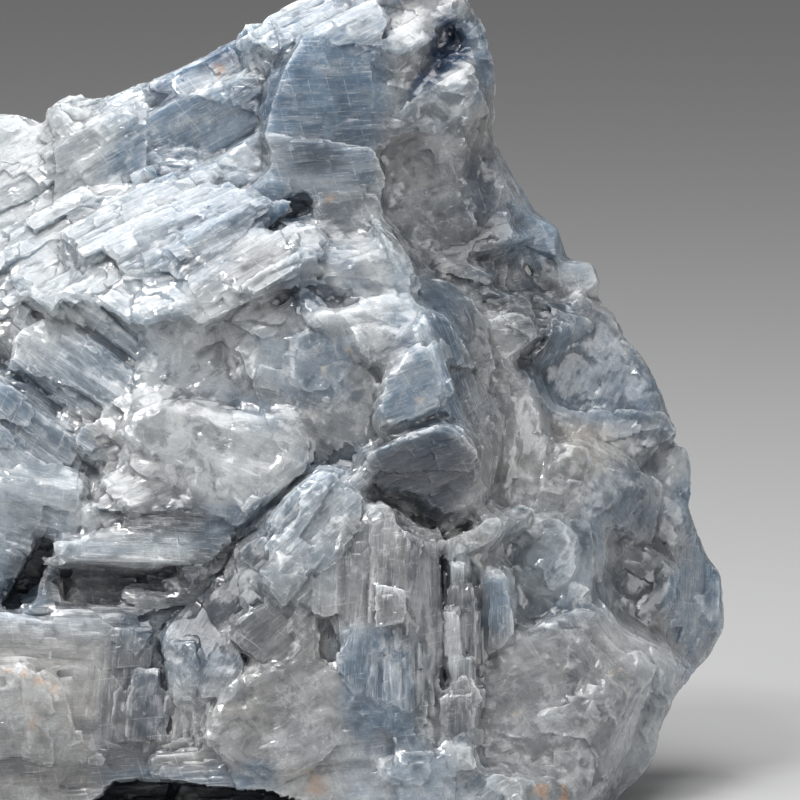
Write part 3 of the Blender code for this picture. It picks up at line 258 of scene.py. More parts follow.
def directions_to_face(vectors):
    return to_face(vectors) - to_face(np.zeros(3))


def unit(vectors):
    return vectors / np.maximum(np.linalg.norm(vectors, axis=-1, keepdims=True), 1e-9)


def fade(values, low, high):
    """0 up to low and 1 from high on, with a smooth rise between."""
    share = np.clip((values - low) / (high - low), 0.0, 1.0)
    return share * share * (3.0 - 2.0 * share)


def hashed(cells, seed):
    """An even random number from 0 to 1 for each whole-numbered cell."""
    c = cells.astype(np.int64).astype(np.uint32)
    h = (c * np.array([374761393, 668265263, 2147483647], dtype=np.uint32)).sum(axis=-1, dtype=np.uint32)
    h = h + np.uint32(seed * 1274126177 % 4294967296)
    h = (h ^ (h >> np.uint32(13))) * np.uint32(1274126177)
    h = (h ^ (h >> np.uint32(16))) * np.uint32(2246822519)
    h = h ^ (h >> np.uint32(15))
    return h.astype(np.float64) / 4294967295.0


def noise(points, size, seed):
    """Smooth noise from -1 to 1 whose lumps are about this size."""
    p = points / size
    base = np.floor(p)
    f = p - base
    f = f * f * (3.0 - 2.0 * f)
    total = np.zeros(p.shape[:-1])
    for dx in (0, 1):
        wx = f[..., 0] if dx else 1.0 - f[..., 0]
        for dy in (0, 1):
            wy = f[..., 1] if dy else 1.0 - f[..., 1]
            for dz in (0, 1):
                wz = f[..., 2] if dz else 1.0 - f[..., 2]
                total += wx * wy * wz * hashed(base + (dx, dy, dz), seed)
    return 2.0 * total - 1.0


# Crystals

def rhomb_edges(looks, along):
    """The three unit edges of a cleavage rhomb with a face that looks this way and an edge near this one."""
    looks = unit(np.array(looks, dtype=float))
    first = unit(along - looks * np.dot(along, looks))
    side = np.cross(looks, first)
    second = first * math.cos(RHOMB_ANGLE) + side * math.sin(RHOMB_ANGLE)
    across = math.cos(RHOMB_ANGLE) / (1.0 + math.cos(RHOMB_ANGLE))
    inward = math.sqrt(1.0 - across * across * (2.0 + 2.0 * math.cos(RHOMB_ANGLE)))
    third = across * (first + second) - looks * inward
    return np.array([first, second, third])


def build_grains(surface_depth):
    """All the crystals: middles, edges, splinter sizes, stand-outs, counts and softness, in world axes."""
    grains = []
    for (x, u), looks, angle, size, stand_out, count, soft in SHOW_GRAINS:
        turn = math.radians(angle)
        edges = rhomb_edges(looks, np.array([math.cos(turn), 0.0, math.sin(turn)]))
        middle = np.array([x, surface_depth(x, u), u])
        grains.append((middle, edges, size, stand_out, count, soft))
    size, stand_out, count, soft = BACK_SPLINTERS
    for looks, spin, middle in BACK_GRAINS:
        face = Vector(looks).normalized()
        along = face.orthogonal().normalized()
        along.rotate(Quaternion(face, math.radians(spin)))
        edges = rhomb_edges(looks, np.array(along))
        grains.append((np.array(middle, dtype=float), edges, size, stand_out, count, soft))
    return {
        "middle": to_world(np.array([g[0] for g in grains])),
        "edges": directions_to_world(np.array([g[1] for g in grains])),
        "size": np.array([g[2] for g in grains]),
        "stand_out": np.array([g[3] for g in grains]),
        "count": np.array([g[4] for g in grains]),
        "soft": np.array([g[5] for g in grains]),
    }


def nearest_grain(points, grains):
    """The index of the crystal that each point belongs to, with borders that wander a little."""
    wander = np.stack([noise(points, 5.0, 11 + k) for k in range(3)], axis=-1) * 1.6
    moved = points + wander
    best = np.full(len(points), np.inf)
    index = np.zeros(len(points), dtype=int)
    for k, middle in enumerate(grains["middle"]):
        distance = ((moved - middle) ** 2).sum(axis=1)
        closer = distance < best
        best[closer] = distance[closer]
        index[closer] = k
    return index


def nearest_cleavage_face(edges, normals):
    """Which of its crystal's three cleavage faces looks most like each normal, and where that face looks."""
    looks = unit(np.cross(np.roll(edges, -1, axis=1), np.roll(edges, -2, axis=1)))
    toward = np.einsum("nij,nj->ni", looks, normals)
    nearest = np.abs(toward).argmax(axis=1)
    rows = np.arange(len(edges))
    return nearest, looks[rows, nearest] * np.sign(toward[rows, nearest])[:, None]


# Meshes

def place_in_scene(name, data):
    thing = bpy.data.objects.new(name, data)
    bpy.context.scene.collection.objects.link(thing)
    return thing


def vertex_points(mesh):
    points = np.empty(len(mesh.vertices) * 3)
    mesh.vertices.foreach_get("co", points)
    return points.reshape(-1, 3)


def set_vertex_points(mesh, points):
    mesh.vertices.foreach_set("co", points.ravel())
    mesh.update()


def mesh_arrays(mesh):
    """A mesh's corner points in millimetres, and its triangles."""
    mesh.calc_loop_triangles()
    triangles = np.empty(len(mesh.loop_triangles) * 3, dtype=np.int32)
    mesh.loop_triangles.foreach_get("vertices", triangles)
    return vertex_points(mesh) / MM, triangles.reshape(-1, 3)


def vertex_normals(mesh):
    normals = np.empty(len(mesh.vertices) * 3)
    mesh.vertices.foreach_get("normal", normals)
    return normals.reshape(-1, 3)


def random_spots(points, triangles, density, rng):
    """Random places, this many for each square centimetre of the triangles, and the normals there."""
    a, b, c = (points[triangles[:, k]] for k in range(3))
    cross = np.cross(b - a, c - a)
    areas = 0.5 * np.linalg.norm(cross, axis=1)
    total = int(areas.sum() / SQUARE_CENTIMETRE * density)
    chosen = rng.choice(len(areas), size=total, p=areas / areas.sum())
    r1 = np.sqrt(rng.random(total))[:, None]
    r2 = rng.random(total)[:, None]
    spots = (1 - r1) * a[chosen] + r1 * (1 - r2) * b[chosen] + r1 * r2 * c[chosen]
    return spots, unit(cross)[chosen]


def splinter_mesh(points, triangles, grains, rng):
    """Corner points and faces of small rhombs whose outer faces lie on evenly spaced cleavage planes."""
    most = grains["count"].max()
    spots, normal = random_spots(points, triangles, most, rng)
    grain = nearest_grain(spots, grains)
    hard = 1.0 - grains["soft"][grain]
    keep = rng.random(len(spots)) < SPLINTER_SHARE * hard * grains["count"][grain] / most
    keep &= spots[:, 2] > SPLINTER_LOWEST
    spots, normal, grain = spots[keep], normal[keep], grain[keep]
    count = len(spots)
    rows = np.arange(count)
    swell = rng.lognormal(0.0, 0.35, count)
    long_side = grains["size"][grain, 0] * swell * rng.uniform(0.6, 1.2, count)
    short_side = grains["size"][grain, 1] * swell * rng.uniform(0.6, 1.2, count)
    lengths = np.stack([long_side, short_side, short_side * rng.uniform(0.7, 1.2, count)], axis=1)
    edges = grains["edges"][grain]
    outer, outward = nearest_cleavage_face(edges, normal)
    lengths[rows, outer] = np.maximum(lengths[rows, outer], SPLINTER_ROOT)
    stand_out = grains["stand_out"][grain] * rng.uniform(0.1, 0.8, count)
    spacing = np.maximum(0.14, grains["stand_out"][grain] * 0.4)
    level = np.ceil(((spots * outward).sum(axis=1) + 0.4 * stand_out) / spacing) * spacing
    half_depth = 0.5 * lengths[rows, outer] * np.abs((edges[rows, outer] * outward).sum(axis=1))
    centres = spots + outward * (level - half_depth - (spots * outward).sum(axis=1))[:, None]
    signs = np.array([[i, j, k] for i in (-1, 1) for j in (-1, 1) for k in (-1, 1)]) * 0.5
    corners = centres[:, None, :] + np.einsum("si,nij->nsj", signs, edges * lengths[:, :, None])
    faces = np.array([[0, 1, 3, 2], [4, 6, 7, 5], [0, 4, 5, 1], [2, 3, 7, 6], [0, 2, 6, 4], [1, 5, 7, 3]])
    all_faces = (faces[None] + 8 * rows[:, None, None]).reshape(-1, 4)
    return corners.reshape(-1, 3), all_faces


def show_face_depths(points, triangles):
    """The x and u of an even grid over the show face, and how far the stone reaches toward the viewer."""
    tree = BVHTree.FromPolygons(to_face(points).tolist(), triangles.tolist())
    across = np.arange(-56.0, 56.0, CLEFT_STEP)
    up = np.arange(0.2, 98.0, CLEFT_STEP)
    reach = np.full((len(across), len(up)), -np.inf)
    forward = Vector((0.0, 1.0, 0.0))
    for i, x in enumerate(across):
        for j, u in enumerate(up):
            hit = tree.ray_cast((x, -80.0, u), forward)[0]
            if hit is not None:
                reach[i, j] = -hit.y
    return across, up, reach


def shifted(values, steps, axis):
    """Grid values moved along an axis, the border row repeated."""
    moved = np.roll(values, steps, axis=axis)
    border = np.take(values, [0 if steps > 0 else -1], axis=axis)
    where = [slice(None), slice(None)]
    where[axis] = slice(0, steps) if steps > 0 else slice(steps, None)
    moved[tuple(where)] = border
    return moved


def highest_near(values, cells):
    """The highest value within about this many cells, over an octagon."""
    square = cells // 2
    for axis in (0, 1):
        spread = values
        for step in range(1, square + 1):
            for way in (-step, step):
                spread = np.maximum(spread, shifted(values, way, axis))
        values = spread
    for _ in range(cells - square):
        spread = values
        for axis in (0, 1):
            for way in (-1, 1):
                spread = np.maximum(spread, shifted(values, way, axis))
        values = spread
    return values


def distance_to_path(places, path):
    """How far each place is from a path of straight stretches."""
    distance = np.full(places.shape[:-1], np.inf)
    corners = np.array(path, dtype=float)
    for start, end in zip(corners[:-1], corners[1:]):
        side = end - start
        along = np.clip((places - start) @ side / (side @ side), 0.0, 1.0)
        distance = np.minimum(distance, np.linalg.norm(places - start - along[..., None] * side, axis=-1))
    return distance


def blurred(values, inside, rounds):
    """Grid values smoothed over the cells that lie on the stone."""
    for _ in range(rounds):
        near = np.zeros(values.shape)
        number = np.zeros(values.shape)
        for axis in (0, 1):
            for way in (-1, 1):
                near += shifted(np.where(inside, values, 0.0), way, axis) * shifted(inside, way, axis)
                number += shifted(inside, way, axis)
        values = np.where(inside, 0.5 * values + 0.5 * near / np.maximum(number, 1), values)
    return values


def on_grid(values, across, up, places):
    """Grid values at places between the grid's points."""
    i = np.clip((places[:, 0] - across[0]) / CLEFT_STEP, 0, len(across) - 1.001)
    j = np.clip((places[:, 1] - up[0]) / CLEFT_STEP, 0, len(up) - 1.001)
    i0, j0 = i.astype(int), j.astype(int)
    fi, fj = i - i0, j - j0
    return ((1 - fi) * (1 - fj) * values[i0, j0] + fi * (1 - fj) * values[i0 + 1, j0]
            + (1 - fi) * fj * values[i0, j0 + 1] + fi * fj * values[i0 + 1, j0 + 1])


def fill_clefts(mesh, cad_points, cad_triangles):
    """Moves what lies deep in the show face's narrow clefts toward the viewer, to a set depth."""
    across, up, reach = show_face_depths(cad_points, cad_triangles)
    cells = int(round(0.5 * CLEFT_WIDTH / CLEFT_STEP))
    inside = np.isfinite(reach)
    closed = -highest_near(-highest_near(reach, cells), cells)
    closed = -highest_near(-np.minimum(closed, blurred(closed, inside, 4)), 2)
    depth = np.full(reach.shape, CLEFT_DEPTH)
    places = np.stack(np.meshgrid(across, up, indexing="ij"), axis=-1)
    for middle, radius, left in FUSED_AREAS:
        share = 1.0 - fade(np.linalg.norm(places - middle, axis=-1), 0.7 * radius, 1.1 * radius)
        depth += (left - depth) * share
    for path, half_width, left in OPEN_CLEFTS:
        share = 1.0 - fade(distance_to_path(places, path), half_width, half_width + CLEFT_BORDER)
        depth += (left - depth) * share
    level = np.where(inside, closed - depth, -99.0)
    floor = -highest_near(-np.where(inside, reach, 99.0), 3)
    face = to_face(vertex_points(mesh))
    own = -face[:, 1]
    target = on_grid(level, across, up, face[:, [0, 2]])
    normals = directions_to_face(vertex_normals(mesh))
    seen = own > on_grid(floor, across, up, face[:, [0, 2]]) - SEEN_DEPTH
    seen &= normals[:, 1] < SEEN_SLOPE
    face[:, 1] = -np.where(seen & (target > own + CLEFT_LEAST_RISE), target, own)
    set_vertex_points(mesh, to_world(face))


def keep_outer_shell(mesh):
    """Leaves only the mesh's largest connected shell, without the walls of hollows sealed inside it."""
    count = len(mesh.vertices)
    pairs = edge_pairs(mesh)
    both = np.concatenate([pairs, pairs[:, ::-1]])
    order = np.argsort(both[:, 0], kind="stable")
    ends = both[order, 1]
    starts = np.searchsorted(both[order, 0], np.arange(count + 1))
    shell = np.full(count, -1)
    sizes = []
    for seed in range(count):
        if shell[seed] >= 0:
            continue
        label, edge_of_search, size = len(sizes), np.array([seed]), 1
        shell[seed] = label
        while len(edge_of_search):
            lengths = starts[edge_of_search + 1] - starts[edge_of_search]
            before = np.cumsum(lengths) - lengths
            first = np.repeat(starts[edge_of_search] - before, lengths)
            reached = np.unique(ends[first + np.arange(lengths.sum())])
            edge_of_search = reached[shell[reached] < 0]
            shell[edge_of_search] = label
            size += len(edge_of_search)
        sizes.append(size)
    extra = np.nonzero(shell != int(np.argmax(sizes)))[0]
    if len(extra):
        solid = bmesh.new()
        solid.from_mesh(mesh)
        solid.verts.ensure_lookup_table()
        bmesh.ops.delete(solid, geom=[solid.verts[k] for k in extra.tolist()], context="VERTS")
        solid.to_mesh(mesh)
        solid.free()
    return mesh


def object_from(points, faces, name):
    mesh = bpy.data.meshes.new(name)
    mesh.from_pydata(points.tolist(), [], faces)
    mesh.update()
    return place_in_scene(name, mesh)


def applied(piece):
    """Replaces an object's mesh by what its modifiers make of it."""
    evaluated = piece.evaluated_get(bpy.context.evaluated_depsgraph_get())
    mesh = bpy.data.meshes.new_from_object(evaluated)
    old = piece.data
    piece.modifiers.clear()
    piece.data = mesh
    bpy.data.meshes.remove(old)
    return mesh


def joined(piece):
    """Replaces an object's mesh by one even skin round everything in it."""
    remesh = piece.modifiers.new("join", "REMESH")
    remesh.mode = "VOXEL"
    remesh.voxel_size = VOXEL
    return applied(piece)


def neighbour_mean(values, pairs, count):
    """The mean of each vertex's neighbours, or its own value where it has none."""
    total = np.zeros_like(values)
    number = np.zeros(count)
    for one, other in ((0, 1), (1, 0)):
        number += np.bincount(pairs[:, one], minlength=count)
        for k in range(values.shape[1]):
            total[:, k] += np.bincount(pairs[:, one], weights=values[pairs[:, other], k], minlength=count)
    return np.where(number[:, None] > 0, total / np.maximum(number, 1)[:, None], values)


def edge_pairs(mesh):
    pairs = np.empty(len(mesh.edges) * 2, dtype=np.int32)
    mesh.edges.foreach_get("vertices", pairs)
    return pairs.reshape(-1, 2)


def lattice_places(points, grain, grains):
    """Each point's place along the three cleavage edges of its own crystal, in millimetres."""
    inverse = np.linalg.inv(grains["edges"])
    return np.einsum("nj,njk->nk", points, inverse[grain])


def cleavage_cells(points, grain, grains, scale, seed):
    """The rhomb of its own crystal's lattice that each point lies in. The rhombs are laid in rows of uneven
    width, and each row is shifted along its length."""
    long_side, short_side = grains["size"][grain, 0], grains["size"][grain, 1]
    sizes = scale * np.stack([long_side, short_side, 1.3 * short_side], axis=1)
    ragged = np.stack([noise(points, 1.3, seed + k) for k in range(3)], axis=-1)
    steps = (lattice_places(points, grain, grains) + RHOMB_RAGGED * ragged) / sizes
    steps += RHOMB_UNEVEN * np.sin(2.3 * steps + grain[:, None])
    rows = np.floor(steps[:, 1:])
    slide = hashed(np.stack([rows[:, 0], rows[:, 1], grain], axis=1), seed)
    return np.stack([np.floor(steps[:, 0] + slide), rows[:, 0], rows[:, 1] + 64.0 * grain], axis=1)


def cleave(points, normals, grain, grains, scale, reach, seed):
    """How far each point moves along its normal, at most this reach, so that its rhomb becomes one flat face
    that leans toward the nearest cleavage face of its crystal."""
    cells = cleavage_cells(points, grain, grains, scale, seed)
    keys = ((cells[:, 0] + 4096) * 8192 + cells[:, 1] + 4096) * 65536 + cells[:, 2] + 8192
    _, first, cell = np.unique(keys, return_index=True, return_inverse=True)
    number = np.bincount(cell)
    place = np.stack([np.bincount(cell, weights=points[:, k]) / number for k in range(3)], axis=1)
    normal = unit(np.stack([np.bincount(cell, weights=normals[:, k]) for k in range(3)], axis=1))
    owner = grain[first]
    outward = nearest_cleavage_face(grains["edges"][owner], normal)[1]
    chance = np.stack([hashed(cells[first], seed + k) for k in range(5)], axis=1)
    lean = (RHOMB_LEAN * (1.0 - 0.8 * grains["soft"][owner]) * (0.55 + 0.45 * chance[:, 0]))[:, None]
    plane = unit(normal * (1.0 - lean) + outward * lean + RHOMB_TILT * (chance[:, 1:4] - 0.5))
    slope = np.maximum((normals * plane[cell]).sum(axis=1), 0.35)
    height = ((place[cell] - points) * plane[cell]).sum(axis=1) / slope
    return np.clip(height, -reach, reach) + RHOMB_STEP * reach * (chance[cell, 4] - 0.5)


def smooth_normals(mesh, pairs, rounds):
    normals = vertex_normals(mesh)
    for _ in range(rounds):
        normals = unit(neighbour_mean(normals, pairs, len(normals)) + normals)
    return normals


def soften(points, pairs, soft, rounds):
    """Wears the soft parts of the surface smooth, more where they are softer."""
    worn = np.nonzero(soft > 0.02)[0]
    number = np.full(len(points), -1)
    number[worn] = np.arange(len(worn))
    inner = pairs[(number[pairs[:, 0]] >= 0) & (number[pairs[:, 1]] >= 0)]
    inner = number[inner]
    part = points[worn]
    share = 0.85 * soft[worn, None]
    for _ in range(rounds):
        part += share * (neighbour_mean(part, inner, len(worn)) - part)
    points[worn] = part


def under_foot(face):
    """How far each point lies in the hollow under the front of the foot, from 0 to 1."""
    edge = np.array(FOOT_HOLLOW)
    roof = np.interp(face[:, 0], edge[:, 0], edge[:, 1], left=-9.0, right=-9.0)
    ragged = 0.36 * noise(face, 3.5, 81) + 0.16 * noise(face, 1.2, 82)
    return fade(roof + ragged - face[:, 2], -0.1, 0.7)


def carve(points):
    """Cuts the open clefts and the hollow under the foot into the show face."""
    face = to_face(points)
    places = face[:, [0, 2]]
    front = 1.0 - fade(face[:, 1], *CARVED_DEPTHS)
    ragged = 0.9 * noise(face, 3.5, 81) + 0.4 * noise(face, 1.2, 82)
    into = np.zeros(len(points))
    for path, half_width, depth in OPEN_CLEFTS:
        distance = distance_to_path(places, path) + ragged * min(1.0, half_width)
        into = np.maximum(into, CARVED_SHARE * depth * (1.0 - fade(distance, 0.0, half_width)))
    foot = fade(-face[:, 1], *FOOT_HOLLOW_REACH) * under_foot(face)
    into = into * front + FOOT_HOLLOW_DEPTH * foot
    points += into[:, None] * directions_to_world(np.array([0.0, 1.0, 0.0]))


def fine_relief(mesh, grains):
    """Moves each vertex along its smoothed normal: soft lumps, then large and small flat cleavage rhombs."""
    count = len(mesh.vertices)
    points = vertex_points(mesh)
    pairs = edge_pairs(mesh)
    grain = nearest_grain(points, grains)
    character = np.stack([grains["soft"][grain], grains["stand_out"][grain]], axis=1)
    for _ in range(6):
        character = neighbour_mean(character, pairs, count)
    soft, stand_out = character[:, 0], character[:, 1]
    soften(points, pairs, soft, SOFT_ROUNDS)
    low, full = FOOT_RELIEF
    off_floor = np.clip((points[:, 2] - low) / (full - low), 0.0, 1.0)

    def move(heights):
        set_vertex_points(mesh, points)
        points[:] += smooth_normals(mesh, pairs, 10) * (heights * off_floor)[:, None]
        points[:, 2] = np.maximum(points[:, 2], 0.0)

    carve(points)
    move(soft * sum(height * noise(points, size, seed) for size, height, seed in SOFT_LUMPS))
    for scale, reach, rounds, seed in RHOMBS:
        normals = smooth_normals(mesh, pairs, rounds)
        farthest = reach * (stand_out * (1.0 - soft) + SOFT_REACH * soft)
        move(cleave(points, normals, grain, grains, scale, farthest, seed))
    low, high = (np.array(corner) / MM for corner in CAD_BOX)
    points[:] = np.clip(points, low - BOX_MARGIN, high + BOX_MARGIN)
    points[:, 2] = np.maximum(points[:, 2], 0.0)
    set_vertex_points(mesh, points)


# Colours placed on the stone

# What the body of the stone looks like where it is cloudy, clear or stained, as reflected light.
TONES = {
    "milk": (0.45, 0.465, 0.47),
    "ice": (0.33, 0.38, 0.42),
    "steel": (0.14, 0.205, 0.28),
    "grey": (0.235, 0.235, 0.232),
    "slate": (0.033, 0.046, 0.064),
    "deep": (0.013, 0.045, 0.11),
    "sand": (0.47, 0.43, 0.375),
    "rust": (0.55, 0.30, 0.14),
}

